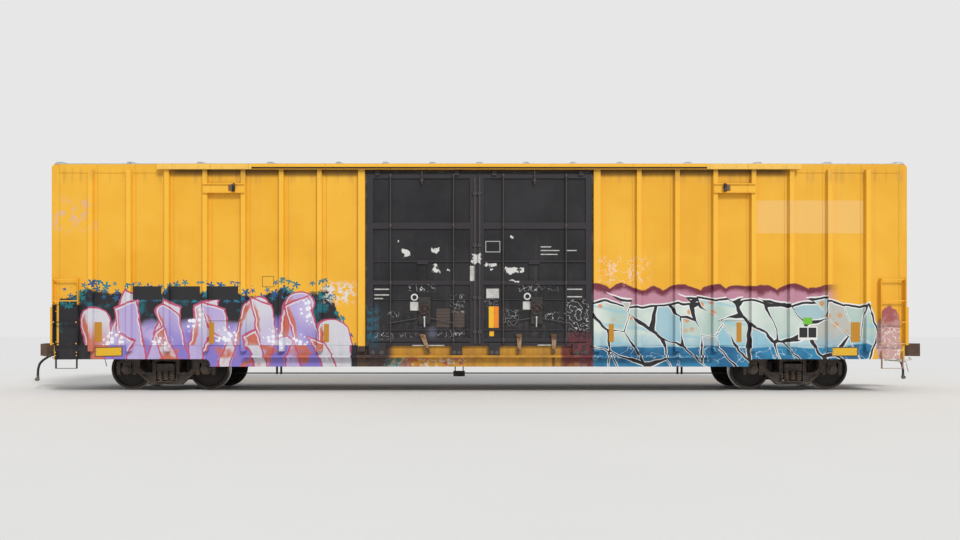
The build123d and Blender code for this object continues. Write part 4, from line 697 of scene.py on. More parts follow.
def lever_steel():
    """Bare rusty steel with worn remains of cream paint near the pivot."""
    t = Paint("lever_steel", (0.10, 0.045, 0.02))
    fine = t.noise(18.0, 6.0, 0.7)
    blotch = t.noise(7.0, 4.0, 0.6)
    t.coat((0.22, 0.11, 0.05), blotch.ramp(0.35, 0.65))
    t.coat((0.05, 0.025, 0.015), fine.ramp(0.55, 0.7) * 0.6)
    below_pivot = t.z.within(RAIL + 0.90, RAIL + 1.15, 0.05)
    cream = (blotch * 0.5 + fine * 0.5 + below_pivot * 0.07).ramp(0.52, 0.60)
    t.coat((0.44, 0.31, 0.19), cream * 0.6)
    t.coat((0.40, 0.28, 0.17), t.edge(0.006) * 0.5)
    return t.finish(fine * 0.3 + 0.5, 0.0, fine, 0.0015, 0.003)


def roof_metal():
    """Galvanised sheet with spangle, dirt streaks and rust."""
    t = Paint("roof_metal", (0.50, 0.51, 0.51))
    spangle = t.channel(t.cells(34.0)["Color"], 0)
    streak = t.noise(2.0, 5.0, 0.65, stretch=(2.5, 0.3, 1.0))
    t.coat((0.60, 0.61, 0.62), spangle)
    t.coat((0.30, 0.27, 0.23), streak.ramp(0.5, 0.72) * 0.6)
    rust = t.noise(6.0, 6.0, 0.7).ramp(0.6, 0.68)
    t.coat(RUST, rust * 0.6)
    rough = spangle * 0.12 + 0.4 + rust * 0.3
    return t.finish(rough, (1.0 - rust) * 0.55, t.noise(5.0, 2.0), 0.003, 0.005)


BOARD_WIDTH = 0.14


def floor_boards():
    """Boards across the car, each with a tone of its own."""
    t = Paint("floor_boards", (0.20, 0.125, 0.07))
    board = (t.x / BOARD_WIDTH).sum("FLOOR")
    tone = t.noise(1.0, 0.0, 0.5, t.vector(board * 7.31, 0.0, 0.0))
    grain = t.noise(6.0, 6.0, 0.65, stretch=(9.0, 0.8, 9.0))
    t.coat((0.34, 0.23, 0.14), tone.ramp(0.3, 0.7))
    t.coat((0.12, 0.075, 0.045), grain.ramp(0.5, 0.68) * 0.7)
    gap = t.x.wrap(BOARD_WIDTH).ramp(0.005, 0.002)
    t.coat((0.02, 0.016, 0.012), gap)
    return t.finish(0.82, 0.0, grain * 0.5 - gap, 0.003, 0.003)


def wheel_steel():
    """Bright running tread, dusty rim, brown plate."""
    # the colours are darkened well below the steel's own, as painted shade from the car above
    t = Paint("wheel_steel", (0.007, 0.005, 0.0045))
    radius = length(abs(abs(t.x) - TRUCK_X) - AXLE_OFFSET, t.z - AXLE_Z)
    fine = t.noise(16.0, 6.0, 0.7)
    blotch = t.noise(3.0, 5.0, 0.65)
    t.coat((0.018, 0.012, 0.010), blotch.ramp(0.35, 0.65))
    t.coat((0.050, 0.038, 0.032), t.z.ramp(0.62, 0.05) * fine.ramp(0.25, 0.6) * 0.3)
    t.coat((0.055, 0.038, 0.030), radius.ramp(0.395, 0.402) * 0.4)
    grease = radius.within(0.14, 0.22, 0.04) * blotch.ramp(0.4, 0.6)
    t.coat((0.014, 0.012, 0.01), grease * 0.8)
    tread = radius.ramp(0.4515, 0.454) * abs(t.y).ramp(0.8235, 0.8215) * abs(t.y).ramp(0.700, 0.706)
    t.coat((0.56, 0.55, 0.53), tread)
    return t.finish(0.72 - tread * 0.42, tread, fine * (1.0 - tread) * 0.8, 0.0016, 0.003)


def plain_coat(name, colour, rough, bump=0.2, scale=60.0, worn=(0.3, 0.28, 0.26), wear=0.25):
    """Rubber or paint with fine grain and dirt in patches."""
    t = Paint(name, colour)
    fine = t.noise(scale, 4.0, 0.6)
    t.coat(worn, t.noise(4.0, 5.0, 0.7).ramp(0.48, 0.66) * wear)
    return t.finish(fine * 0.15 + rough, 0.0, fine * bump, 0.0008, 0.002)


def reflector_sheet():
    """Amber sheeting of small prism cells."""
    t = Paint("reflector_sheet", (0.46, 0.20, 0.008))
    diagonal = ((t.x + t.z) * 90.0).sine() * ((t.x - t.z) * 90.0).sine()
    t.coat((0.56, 0.26, 0.02), diagonal.ramp(-0.1, 0.1))
    t.coat((0.22, 0.12, 0.04), t.noise(5.0, 5.0, 0.7).ramp(0.55, 0.7) * 0.5)
    return t.finish(0.35, 0.0, diagonal, 0.0004, 0.001)


def amber_label():
    """Two vertical fields, yellow and orange."""
    t = Paint("amber_label", (0.86, 0.47, 0.012))
    fine = t.noise(40.0, 3.0, 0.6)
    t.coat((0.84, 0.24, 0.012), t.x.ramp(0.312, 0.316))
    t.coat((0.35, 0.2, 0.08), t.noise(5.0, 5.0, 0.7).ramp(0.55, 0.7) * 0.35)
    return t.finish(fine * 0.1 + 0.4, 0.0, fine, 0.0004, 0.001)


# Base and worn colour, share of dust and of rust, and where they differ from worn_metal's own values,
# roughness, metal and grain
WORN_METALS = {
    "gear_metal": ((0.016, 0.015, 0.017), (0.030, 0.026, 0.025), 0.12, 0.22),
    "rod_metal": ((0.048, 0.043, 0.042), (0.072, 0.062, 0.055), 0.2, 0.3),
    "rusty_metal": ((0.16, 0.07, 0.03), (0.24, 0.12, 0.06), 0.25, 0.8),
    "dark_rust": ((0.040, 0.024, 0.018), (0.070, 0.042, 0.030), 0.15, 0.4),
    "underframe_paint": ((0.03, 0.026, 0.024), (0.07, 0.055, 0.045), 0.5, 0.45),
    "platform_metal": ((0.34, 0.34, 0.34), (0.26, 0.25, 0.24), 0.3, 0.35, 0.5, 0.5),
    "brake_gear": ((0.03, 0.028, 0.027), (0.06, 0.05, 0.042), 0.5, 0.4),
    "lever_paint": ((0.62, 0.62, 0.58), (0.46, 0.44, 0.40), 0.25, 0.35, 0.5),
    "gladhand_metal": ((0.10, 0.09, 0.08), (0.16, 0.12, 0.09), 0.3, 0.4),
    "coupler_steel": ((0.075, 0.048, 0.034), (0.13, 0.08, 0.05), 0.3, 0.7),
    "spring_steel": ((0.05, 0.038, 0.03), (0.09, 0.065, 0.05), 0.35, 0.5),
    "bearing_metal": ((0.055, 0.042, 0.034), (0.09, 0.07, 0.055), 0.35, 0.35),
    "truck_casting": ((0.026, 0.019, 0.016), (0.050, 0.038, 0.031), 0.4, 0.35, 0.6, 0.0, 0.9),
    "bolt_metal": ((0.13, 0.11, 0.09), (0.20, 0.14, 0.09), 0.2, 0.6, 0.5, 0.3),
}
# Colour, roughness, and where they differ, grain, its scale, colour of the dirt and its share
PLAIN_COATS = {
    "hose_rubber": ((0.018, 0.018, 0.019), 0.6, 0.5, 40.0, (0.12, 0.10, 0.09), 0.5),
    "rubber_seal": ((0.013, 0.013, 0.014), 0.65),
    "plate_yellow": ((0.72, 0.42, 0.01), 0.4),
    "plate_dark": ((0.10, 0.045, 0.015), 0.5),
}
# Left and right painting on the near side
BODY_PAINTS = {
    "body_paint": (),
    "left_wall": (left_painting,),
    "right_wall": (None, right_painting),
    "long_parts": (left_foot, right_painting),
}
MATERIALS = {
    "step_paint": step_paint(),
    "door_paint": door_paint(),
    "roof_metal": roof_metal(),
    "floor_boards": floor_boards(),
    "wheel_steel": wheel_steel(),
    "lever_steel": lever_steel(),
    "reflector_sheet": reflector_sheet(),
    "amber_label": amber_label(),
}
for make, table in ((body_paint, BODY_PAINTS), (worn_metal, WORN_METALS), (plain_coat, PLAIN_COATS)):
    for name, row in table.items():
        MATERIALS[name] = make(name, *row)

# Nodes whose material isn't the one named like their slot
PAINTED_NODES = {
    "side_wall_near_left": "left_wall",
    "side_wall_near_right": "right_wall",
    "side_sills": "long_parts",
    "lower_tracks": "long_parts",
    "side_ladders": "long_parts",
    "sill_steps": "step_paint",
}
slots = {row["node"]: row["material_slot"] for row in frame["record"]["subparts"]}
for name, node in nodes.items():
    node.data.materials.clear()
    node.data.materials.append(MATERIALS[PAINTED_NODES.get(name, slots[name])])


def make_floor():
    t = Paint("studio_floor", (0.78, 0.78, 0.77))
    t.coat((0.81, 0.81, 0.80), t.noise(0.4, 2.0, 0.5))
    half = 160.0
    mesh = bpy.data.meshes.new("floor_plane")
    corners = [(-half, -half, 0.0), (half, -half, 0.0), (half, half, 0.0), (-half, half, 0.0)]
    mesh.from_pydata(corners, [], [(0, 1, 2, 3)])
    mesh.materials.append(t.finish(0.85))
    add_object("studio_ground", mesh)


make_floor()


# Mesh building

# Signs of X and Y that copy what is drawn at +X, +Y
CORNERS = ((1, 1), (-1, 1), (1, -1), (-1, -1))
BOTH_SIDES = ((1, 1), (1, -1))


def circle(count, start=0.0):
    """Cosine and sine at equal steps."""
    angles = [start + 2.0 * math.pi * k / count for k in range(count)]
    return [(math.cos(a), math.sin(a)) for a in angles]


class Shape:
    """Collects faces, and turns them into one piece."""

    def __init__(self):
        self.verts = []
        self.faces = []

    def add(self, verts, faces):
        base = len(self.verts)
        self.verts += [tuple(v) for v in verts]
        self.faces += [tuple(base + i for i in f) for f in faces]

    def copies(self, places):
        """The same shape once for each pair of signs of X and Y."""
        whole = Shape()
        for x, y in places:
            faces = [tuple(reversed(f)) if x * y < 0 else f for f in self.faces]
            whole.add([(vx * x, vy * y, vz) for vx, vy, vz in self.verts], faces)
        return whole

    def box(self, x0, x1, y0, y1, z0, z1):
        x0, x1 = sorted((x0, x1))
        y0, y1 = sorted((y0, y1))
        verts = [(x, y, z) for x in (x0, x1) for y in (y0, y1) for z in (z0, z1)]
        faces = [(0, 1, 3, 2), (4, 6, 7, 5), (0, 4, 5, 1), (2, 3, 7, 6), (0, 2, 6, 4), (1, 5, 7, 3)]
        self.add(verts, faces)

    def loft(self, rings, close=False):
        """Rings of equal length joined in order, with end caps where the row isn't closed."""
        n, count = len(rings[0]), len(rings)
        faces = []
        for r in range(count if close else count - 1):
            a, b = r * n, (r + 1) % count * n
            for k in range(n):
                m = (k + 1) % n
                faces.append((a + k, a + m, b + m, b + k))
        if not close:
            faces.append(tuple(reversed(range(n))))
            faces.append(tuple(range((count - 1) * n, count * n)))
        self.add([v for ring in rings for v in ring], faces)

    def lathe(self, profile, centre, sides, axis=OUT, closed=False):
        """A profile of (radius, distance along the axis) turned about it."""
        centre, axis = Vector(centre), Vector(axis).normalized()
        u = axis.orthogonal().normalized()
        v = axis.cross(u)
        verts = []
        for cosine, sine in circle(sides):
            out = u * cosine + v * sine
            verts += [centre + axis * d + out * r for r, d in profile]
        n = len(profile)
        faces = []
        for k in range(sides):
            a, b = k * n, (k + 1) % sides * n
            for i in range(n if closed else n - 1):
                j = (i + 1) % n
                faces.append((a + i, b + i, b + j, a + j))
        if not closed:
            if profile[0][0] > 0.0:
                faces.append(tuple(k * n for k in reversed(range(sides))))
            if profile[-1][0] > 0.0:
                faces.append(tuple(k * n + n - 1 for k in range(sides)))
        self.add(verts, faces)

    def rod(self, start, end, radius, sides=10):
        start, end = Vector(start), Vector(end)
        span = (end - start).length
        bevel = min(radius * 0.25, span * 0.2)
        profile = [(radius - bevel, 0.0), (radius, bevel), (radius, span - bevel), (radius - bevel, span)]
        self.lathe(profile, start, sides, end - start)

    def tube(self, points, radius, sides=8, close=False):
        points = [Vector(p) for p in points]
        count = len(points)
        rings = []
        side = None
        for k, p in enumerate(points):
            before = points[k - 1] if (k or close) else p
            after = points[(k + 1) % count] if (k < count - 1 or close) else p
            along = (after - before).normalized()
            if side is None:
                side = along.orthogonal().normalized()
            side = (side - along * side.dot(along)).normalized()
            up = along.cross(side)
            rings.append([p + (side * cosine + up * sine) * radius for cosine, sine in circle(sides)])
        self.loft(rings, close)

    def bolt(self, centre, radius, height, normal=OUT):
        """A hexagon head on a washer."""
        washer = 0.003
        self.lathe([(radius * 1.35, 0.0), (radius * 1.35, washer)], centre, 10, normal)
        head = [(radius, washer), (radius, washer + height * 0.8), (radius * 0.8, washer + height)]
        self.lathe(head, centre, 6, normal)

    def rivet(self, centre, radius, normal=OUT):
        profile = [(radius, 0.0), (radius * 0.86, radius * 0.38), (radius * 0.45, radius * 0.62)]
        self.lathe(profile, centre, 8, normal)

    def prism(self, outline, y0, y1):
        """An (x, z) outline drawn out along y."""
        self.loft([[(x, y, z) for x, z in outline] for y in (y0, y1)])

    def rim(self, outline, y, depth, width):
        """A raised border inside a closed (x, z) outline, on the face at y."""
        points = [Vector((x, 0.0, z)) for x, z in outline]
        middle = sum(points, Vector()) / len(points)
        rings = []
        for k, p in enumerate(points):
            a = (p - points[k - 1]).normalized()
            b = (points[(k + 1) % len(points)] - p).normalized()
            normal = (Vector((-a.z, 0.0, a.x)) + Vector((-b.z, 0.0, b.x))).normalized()
            if normal.dot(middle - p) < 0.0:
                normal = -normal
            q = p + normal * width
            rings.append([(p.x, y, p.z), (p.x, y + depth, p.z), (q.x, y + depth, q.z), (q.x, y, q.z)])
        self.loft(rings, close=True)

    def piece(self, name, material, body="carbody", slot=None, smooth=0.0):
        """The piece's object. Edges sharper than smooth, in degrees, stay sharp; 0 keeps all flat."""
        mesh = bpy.data.meshes.new(name)
        mesh.from_pydata(self.verts, [], self.faces)
        mesh.validate()
        work = bmesh.new()
        work.from_mesh(mesh)
        bmesh.ops.recalc_face_normals(work, faces=work.faces)
        work.to_mesh(mesh)
        work.free()
        mesh.materials.append(MATERIALS[material])
        if smooth:
            mesh.shade_smooth()
            mesh.set_sharp_from_angle(angle=math.radians(smooth))
        obj = add_object(name, mesh)
        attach(obj, body)
        return obj


# Air hoses: free cords that hang from their angle cocks

HOSE_DIAMETER = 0.054
HOSE_ROUTE = [
    (10.010, 0.42, RAIL + 0.730),
    (10.176, 0.42, RAIL + 0.638),
    (10.272, 0.42, RAIL + 0.476),
    (10.272, 0.42, RAIL + 0.286),
]


def make_hose(end, sign):
    data = bpy.data.curves.new("air_hose_" + end, "CURVE")
    data.dimensions = "3D"
    data.bevel_depth = HOSE_DIAMETER / 2
    data.bevel_resolution = 5
    data.resolution_u = 12
    data.use_fill_caps = True
    spline = data.splines.new("NURBS")
    spline.points.add(len(HOSE_ROUTE) - 1)
    for point, (x, y, z) in zip(spline.points, HOSE_ROUTE):
        point.co = (x * sign, y * sign, z, 1.0)
    spline.order_u = 3
    spline.use_endpoint_u = True
    data.materials.append(MATERIALS["hose_rubber"])
    hose = add_object("hose_" + end, data)
    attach(hose, "carbody")
    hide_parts("air_hose_" + end)
    x, y, z = HOSE_ROUTE[0]


make_hose("b", 1)
make_hose("a", -1)


# Wheelsets, as (radius, distance from the car's middle line)

WHEEL_PROFILE = [
    (0.088, 0.6615), (0.132, 0.6615), (0.139, 0.668), (0.146, 0.690), (0.175, 0.714), (0.25, 0.722),
    (0.33, 0.719), (0.375, 0.712), (0.392, 0.698), (0.402, 0.679), (0.440, 0.678), (0.468, 0.680),
    (0.4785, 0.686), (0.4826, 0.695), (0.4795, 0.703), (0.471, 0.708), (0.4625, 0.712), (0.4590, 0.719),
    (0.4572, 0.735), (0.4545, 0.812), (0.4500, 0.8225), (0.446, 0.8230), (0.404, 0.8230), (0.398, 0.818),
    (0.393, 0.795), (0.380, 0.775), (0.33, 0.758), (0.25, 0.752), (0.19, 0.765), (0.155, 0.79),
    (0.141, 0.828), (0.133, 0.8395), (0.088, 0.8395),
]
AXLE_HALF = [(0.0795, 0.58), (0.088, 0.64), (0.088, 0.87), (0.0745, 0.9125)]
AXLE_PROFILE = [(r, -d) for r, d in reversed(AXLE_HALF)] + AXLE_HALF
CAP_PROFILE = [(0.074, 0.0), (0.074, 0.008), (0.066, 0.014), (0.03, 0.016)]
CAP_BOLT_CIRCLE = 0.046


def make_wheelset(number):
    x = (-TRUCK_X if number < 3 else TRUCK_X) + (AXLE_OFFSET if number % 2 == 0 else -AXLE_OFFSET)
    centre = (x, 0.0, AXLE_Z)
    body = "body_wheelset_%d" % number
    shape = Shape()
    for side in (1, -1):
        shape.lathe([(r, side * d) for r, d in WHEEL_PROFILE], centre, 72, closed=True)
    shape.lathe(AXLE_PROFILE, centre, 32)
    piece = shape.piece("wheels_%d" % number, "wheel_steel", body, "wheel_steel", 28.0)
    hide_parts("wheelset_%d" % number)
    # the end caps of the bearings turn with the axle
    cap = Shape()
    for side in (-1, 1):
        face = side * (JOURNAL_Y + 0.138)
        cap.lathe(CAP_PROFILE, (x, face, AXLE_Z), 28, (0, side, 0))
        for cosine, sine in circle(3, math.radians(90 + 17 * number)):
            spot = (x + CAP_BOLT_CIRCLE * cosine, face + side * 0.014, AXLE_Z + CAP_BOLT_CIRCLE * sine)
            cap.bolt(spot, 0.014, 0.012, (0, side, 0))
    cap.piece("axle_caps_%d" % number, "bearing_metal", body, "bearing_metal", 30.0)


for number in (1, 2, 3, 4):
    make_wheelset(number)


# Trucks

SPRING_BOTTOM, SPRING_TOP = RAIL + 0.178, RAIL + 0.447
SPRING_PLATE = 0.012
SPRING_PITCH = 0.138
# Coil radius, wire radius and turns of the outer and the inner springs
SPRINGS = ((0.0525, 0.0135, 5.2), (0.026, 0.0085, 7.5))
COIL_STEPS = 18


def coil(shape, x, y, radius, wire, turns, start):
    low = SPRING_BOTTOM + SPRING_PLATE + wire
    high = SPRING_TOP - SPRING_PLATE - wire
    steps = int(turns * COIL_STEPS)
    points = []
    for k in range(steps + 1):
        a = start + 2.0 * math.pi * turns * k / steps
        points.append((x + radius * math.cos(a), y + radius * math.sin(a), low + (high - low) * k / steps))
    shape.tube(points, wire)


def make_springs(letter, mid):
    shape = Shape()
    for side in (-1, 1):
        y_mid = side * JOURNAL_Y
        for z in (SPRING_BOTTOM, SPRING_TOP - SPRING_PLATE):
            shape.box(mid - 0.204, mid + 0.204, y_mid - 0.135, y_mid + 0.135, z, z + SPRING_PLATE)
        for i in (-1, 0, 1):
            for j in (-0.5, 0.5):
                for spring, start in zip(SPRINGS, (i + j, i - j)):
                    coil(shape, mid + i * SPRING_PITCH, y_mid + j * SPRING_PITCH, *spring, start)
    piece = shape.piece("coils_" + letter, "spring_steel", "truck_" + letter, "spring_steel", 40.0)
    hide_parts("truck_%s_springs" % letter)


# Outlines on the side frame as x from the truck's middle and z above the rail
SMALL_WINDOW = [
    (0.282, 0.368), (0.487, 0.368), (0.608, 0.472), (0.608, 0.648), (0.548, 0.708), (0.282, 0.718),
]
LOWER_RIB = [(0.345, 0.120), (0.655, 0.392), (0.640, 0.404), (0.332, 0.136)]
UPPER_RIB = [(0.430, 0.790), (0.565, 0.770), (0.945, 0.700), (0.94, 0.684), (0.558, 0.752), (0.430, 0.772)]
WEDGE = [(0.203, 0.452), (0.224, 0.452), (0.224, 0.575), (0.206, 0.585)]
SPRING_WINDOW = [
    (-0.226, 0.178), (0.226, 0.178), (0.226, 0.605), (0.181, 0.640), (-0.181, 0.640), (-0.226, 0.605),
]
SPRING_WINDOW_Z = 0.409
SPRING_WINDOW_GROWTH = 1.075
RIB_HEIGHT = 0.016
# Raised pieces start this far inside the face that carries them
SUNK = 0.001


def make_frame_detail(letter, mid):
    """Raised borders on the castings, wedges, wear plates and bolts."""
    cast = Shape()
    bolts = Shape()
    face = FRAME_OUTER_Y
    back = face - SUNK

    def place(outline, way=1):
        return [(mid + way * x, RAIL + z) for x, z in outline]

    for way in (-1, 1):
        cast.rim(place(SMALL_WINDOW, way), back, RIB_HEIGHT, 0.017)
        cast.prism(place(LOWER_RIB, way), back, face + RIB_HEIGHT)
        cast.prism(place(UPPER_RIB, way), back, face + 0.014)
        # edges of the jaw round the bearing
        for reach in (-0.142, 0.142):
            x = mid + way * (AXLE_OFFSET + reach)
            cast.box(x - 0.008, x + 0.008, back, face + 0.012, RAIL + 0.352, RAIL + 0.592)
        axle = mid + way * AXLE_OFFSET
        cast.box(axle - 0.145, axle + 0.145, back, face + 0.012, RAIL + 0.602, RAIL + 0.618)
        # friction wedge beside the bolster end
        cast.prism(place(WEDGE, way), JOURNAL_Y - 0.06, JOURNAL_Y + 0.06)
        for z in (0.50, 0.56):
            bolts.bolt((mid + way * 0.252, face, RAIL + z), 0.010, 0.008)
        bolts.bolt((axle, face, RAIL + 0.655), 0.011, 0.008)
    border = [
        (x * SPRING_WINDOW_GROWTH, SPRING_WINDOW_Z + (z - SPRING_WINDOW_Z) * SPRING_WINDOW_GROWTH)
        for x, z in SPRING_WINDOW
    ]
    cast.rim(place(border), back, RIB_HEIGHT, 0.016)
    cast.box(mid - 0.34, mid + 0.34, back, face + RIB_HEIGHT, RAIL + 0.112, RAIL + 0.128)
    # pockets of the bolster end
    back, front = BOLSTER_END_Y - SUNK, BOLSTER_END_Y + 0.010
    for z in (0.462, 0.568):
        cast.box(mid - 0.185, mid + 0.185, back, front, RAIL + z, RAIL + z + 0.010)
    for x in (-0.185, -0.062, 0.053, 0.176):
        cast.box(mid + x, mid + x + 0.009, back, front, RAIL + 0.472, RAIL + 0.568)
    body = "truck_" + letter
    cast.copies(BOTH_SIDES).piece("castings_" + letter, "truck_casting", body, "truck_casting", 30.0)
    bolts.copies(BOTH_SIDES).piece("truck_bolts_" + letter, "bolt_metal", body, None, 30.0)


for letter, middle in (("a", -TRUCK_X), ("b", TRUCK_X)):
    make_springs(letter, middle)
    make_frame_detail(letter, middle)


# Doors

Leaf = namedtuple("Leaf", "edge stile middle lock carriers levers")
# Drawn at +X, +Y. The near right leaf and the far left one are main leaves, the others close first.
# Carriers are x and half width, levers are x and lean.
MAIN_LEAF = Leaf(-0.039, 0.131, 1.2145, 1.255, ((0.329, 0.118), (2.233, 0.190)), ((0.872, 0.0), (1.635, 0.0)))
FIRST_LEAF = Leaf(0.051, 0.155, 1.2595, 1.205, ((0.495, 0.118), (2.233, 0.190)), ((1.25, -0.16),))
LEAF_END = 2.468
OUTER_STILE = 0.130
DOOR_BACK_Y = 1.505
STILE_CLIPS = (1.3, 2.05, 3.2, 4.34)
# Lower and upper edge of each framed panel
PANELS = ((3.696, 4.673), (2.862, 3.564), (2.422, 2.835), (1.362, 2.335))
ROD_SPREAD = 0.690
ROD_BRACKETS = (1.123, 2.378, 3.630, 4.730)
BRACKET_COLLAR = [(0.024, -0.03), (0.026, -0.024), (0.026, 0.024), (0.024, 0.03)]
CARRIER_FRONT = 1.600
LOCK_Z = RAIL + 1.795
LOCK_WHEEL = 0.109
LEVER_TOP = RAIL + 1.250
LEVER_TIP = RAIL + 0.812
LEVER_PIVOT = LEVER_TOP - 0.052
LEVER_FACE = 1.587


def both_leaves(draw):
    """Draws each kind of leaf once and copies it to its two places."""
    whole = Shape()
    for leaf, way in ((MAIN_LEAF, -1), (FIRST_LEAF, 1)):
        part = Shape()
        draw(part, leaf)
        part = part.copies(((1, way), (-1, -way)))
        whole.add(part.verts, part.faces)
    return whole


def draw_bars(shape, leaf):
    """Thin bars, the block on the middle bar, stiffeners, clips on the meeting stile and carrier plates."""
    left, right = leaf.edge + leaf.stile, LEAF_END - OUTER_STILE
    face, skin, mid = DOOR_FACE_Y, DOOR_SKIN_Y, leaf.middle
    for x0, x1 in ((left, leaf.lock - 0.17), (leaf.lock + 0.17, right)):
        shape.box(x0, x1, skin, face - 0.004, RAIL + 1.999, RAIL + 2.021)
    shape.box(mid - 0.13, mid + 0.11, skin, face + 0.010, RAIL + 2.79, RAIL + 2.875)
    for x in (mid - 0.125, mid + 0.095):
        shape.box(x, x + 0.012, skin, skin + 0.018, RAIL + 2.422, RAIL + 2.79)
    shape.box(leaf.edge + 0.03, leaf.edge + 0.064, face, face + 0.024, RAIL + 1.02, RAIL + 4.7)
    for z in STILE_CLIPS:
        low, high = RAIL + z - 0.036, RAIL + z + 0.036
        shape.box(leaf.edge + 0.004, leaf.edge + 0.094, face, face + 0.032, low, high)
    shape.box(mid - 0.034, mid + 0.034, skin, ROD_Y - 0.004, RAIL + 4.60, RAIL + 4.66)
    # welded angle round each panel
    for low, high in PANELS:
        corners = ((left, low), (right, low), (right, high), (left, high))
        shape.rim([(x, RAIL + z) for x, z in corners], skin - SUNK, 0.014, 0.012)
    for x, half in leaf.carriers:
        corners = ((x - half, 0.80), (x + half, 0.80), (x + half - 0.04, 1.035), (x - half + 0.04, 1.035))
        shape.prism([(x, RAIL + z) for x, z in corners], CARRIER_FRONT - 0.002, CARRIER_FRONT + 0.005)


def draw_rods(shape, leaf):
    """Collars on the long rods, the short rod at the top, cranks and rollers."""
    y = ROD_Y - 0.004
    shape.rod((leaf.middle, y, RAIL + 4.54), (leaf.middle, y, RAIL + 4.86), 0.015)
    for side in (-1, 1):
        x = leaf.middle + side * ROD_SPREAD
        for z in ROD_BRACKETS:
            shape.lathe(BRACKET_COLLAR, (x, ROD_Y, RAIL + z), 12, (0, 0, 1))
        for z in (1.42, 3.1):
            shape.lathe([(0.022, -0.014), (0.022, 0.014)], (x, ROD_Y, RAIL + z), 12, (0, 0, 1))
        # crank from the lock gear out to the rod
        shape.rod((leaf.lock + side * 0.13, ROD_Y - 0.02, RAIL + 1.60), (x, ROD_Y - 0.01, RAIL + 1.50), 0.010)
        shape.lathe([(0.02, -0.03), (0.02, 0.022)], (x, ROD_Y, RAIL + 1.50), 12)
    for x, half in leaf.carriers:
        for dx in (-0.5, 0.5):
            wheel = (x + half * dx, CARRIER_FRONT, RAIL + 0.846)
            shape.lathe([(0.02, 0.004), (0.046, 0.004), (0.046, 0.010), (0.02, 0.012)], wheel, 20)


def draw_bolts(shape, leaf):
    for z in STILE_CLIPS:
        for dz in (-0.02, 0.02):
            shape.bolt((leaf.edge + 0.079, DOOR_FACE_Y + 0.032, RAIL + z + dz), 0.008, 0.007)
    for side in (-1, 1):
        x = leaf.middle + side * ROD_SPREAD
        for z in ROD_BRACKETS:
            for dx in (-0.021, 0.021):
                for dz in (-0.034, 0.034):
                    shape.bolt((x + dx, ROD_Y - 0.006, RAIL + z + dz), 0.006, 0.006)
    for k in range(15):
        for x in (leaf.edge + leaf.stile - 0.022, LEAF_END - 0.03):
            shape.rivet((x, DOOR_FACE_Y, RAIL + 1.2 + 0.24 * k), 0.008)
    for x, half in leaf.carriers:
        for dx in (0.06 - half, half - 0.06):
            for z in (0.93, 1.0):
                shape.bolt((x + dx, CARRIER_FRONT + 0.005, RAIL + z), 0.009, 0.007)


def draw_seals(shape, leaf):
    """Rubber round the leaf."""
    low, top = RAIL + 0.986, RAIL + 4.800
    shape.box(LEAF_END, LEAF_END + 0.026, DOOR_BACK_Y, DOOR_FACE_Y - 0.004, low, top)
    shape.box(leaf.edge - 0.004, leaf.edge + 0.002, DOOR_BACK_Y, DOOR_FACE_Y - 0.004, low, top)
    shape.box(leaf.edge, LEAF_END, DOOR_BACK_Y, DOOR_FACE_Y - 0.006, top, top + 0.014)


def draw_lock_cases(shape, leaf):
    x, back, z = leaf.lock, DOOR_SKIN_Y, LOCK_Z
    shape.box(x - 0.13, x + 0.13, back, back + 0.042, z - 0.33, z + 0.27)
    shape.box(x - 0.115, x + 0.115, back + 0.042, back + 0.050, z - 0.315, z + 0.255)
    shape.box(x - 0.055, x + 0.055, back + 0.050, back + 0.060, z - 0.10, z + 0.10)
    for dx in (-0.1, 0.1):
        for dz in (-0.29, -0.13, 0.09, 0.23):
            shape.bolt((x + dx, back + 0.050, z + dz), 0.010, 0.008)


def draw_lock_wheels(shape, leaf):
    x, back, z = leaf.lock, DOOR_SKIN_Y, LOCK_Z
    rim = [(x + LOCK_WHEEL * cosine, back + 0.075, z + LOCK_WHEEL * sine) for cosine, sine in circle(32)]
    shape.tube(rim, 0.0105, close=True)
    shape.lathe([(0.028, 0.058), (0.034, 0.062), (0.034, 0.080), (0.022, 0.085)], (x, back, z), 16)
    for cosine, sine in circle(4, math.radians(45)):
        shape.rod((x + 0.02 * cosine, back + 0.071, z + 0.02 * sine),
                  (x + 0.106 * cosine, back + 0.075, z + 0.106 * sine), 0.008, 8)


def draw_lock_handles(shape, leaf):
    x, y = leaf.lock, DOOR_SKIN_Y + 0.068
    shape.rod((x, y, LOCK_Z - 0.165), (x - 0.004, y, LOCK_Z - 0.39), 0.0145, 12)
    shape.lathe([(0.022, -0.012), (0.022, 0.012)], (x, y, LOCK_Z - 0.175), 14)


def draw_lever_detail(shape, leaf):
    """A pivot bolt and a raised rib on each lower lever."""
    for x, lean in leaf.levers:
        shape.lathe([(0.036, 0.0), (0.036, 0.006), (0.02, 0.008)], (x, LEVER_FACE, LEVER_PIVOT), 18)
        shape.bolt((x, LEVER_FACE + 0.005, LEVER_PIVOT), 0.015, 0.010)
        top = x + lean / (LEVER_TOP - LEVER_TIP) * 0.11
        tip = x + lean * 0.93
        rib = [(top - 0.011, LEVER_TOP - 0.11), (top + 0.011, LEVER_TOP - 0.11),
               (tip + 0.009, LEVER_TIP + 0.03), (tip - 0.003, LEVER_TIP + 0.03)]
        shape.prism(rib, LEVER_FACE - SUNK, LEVER_FACE + 0.007)


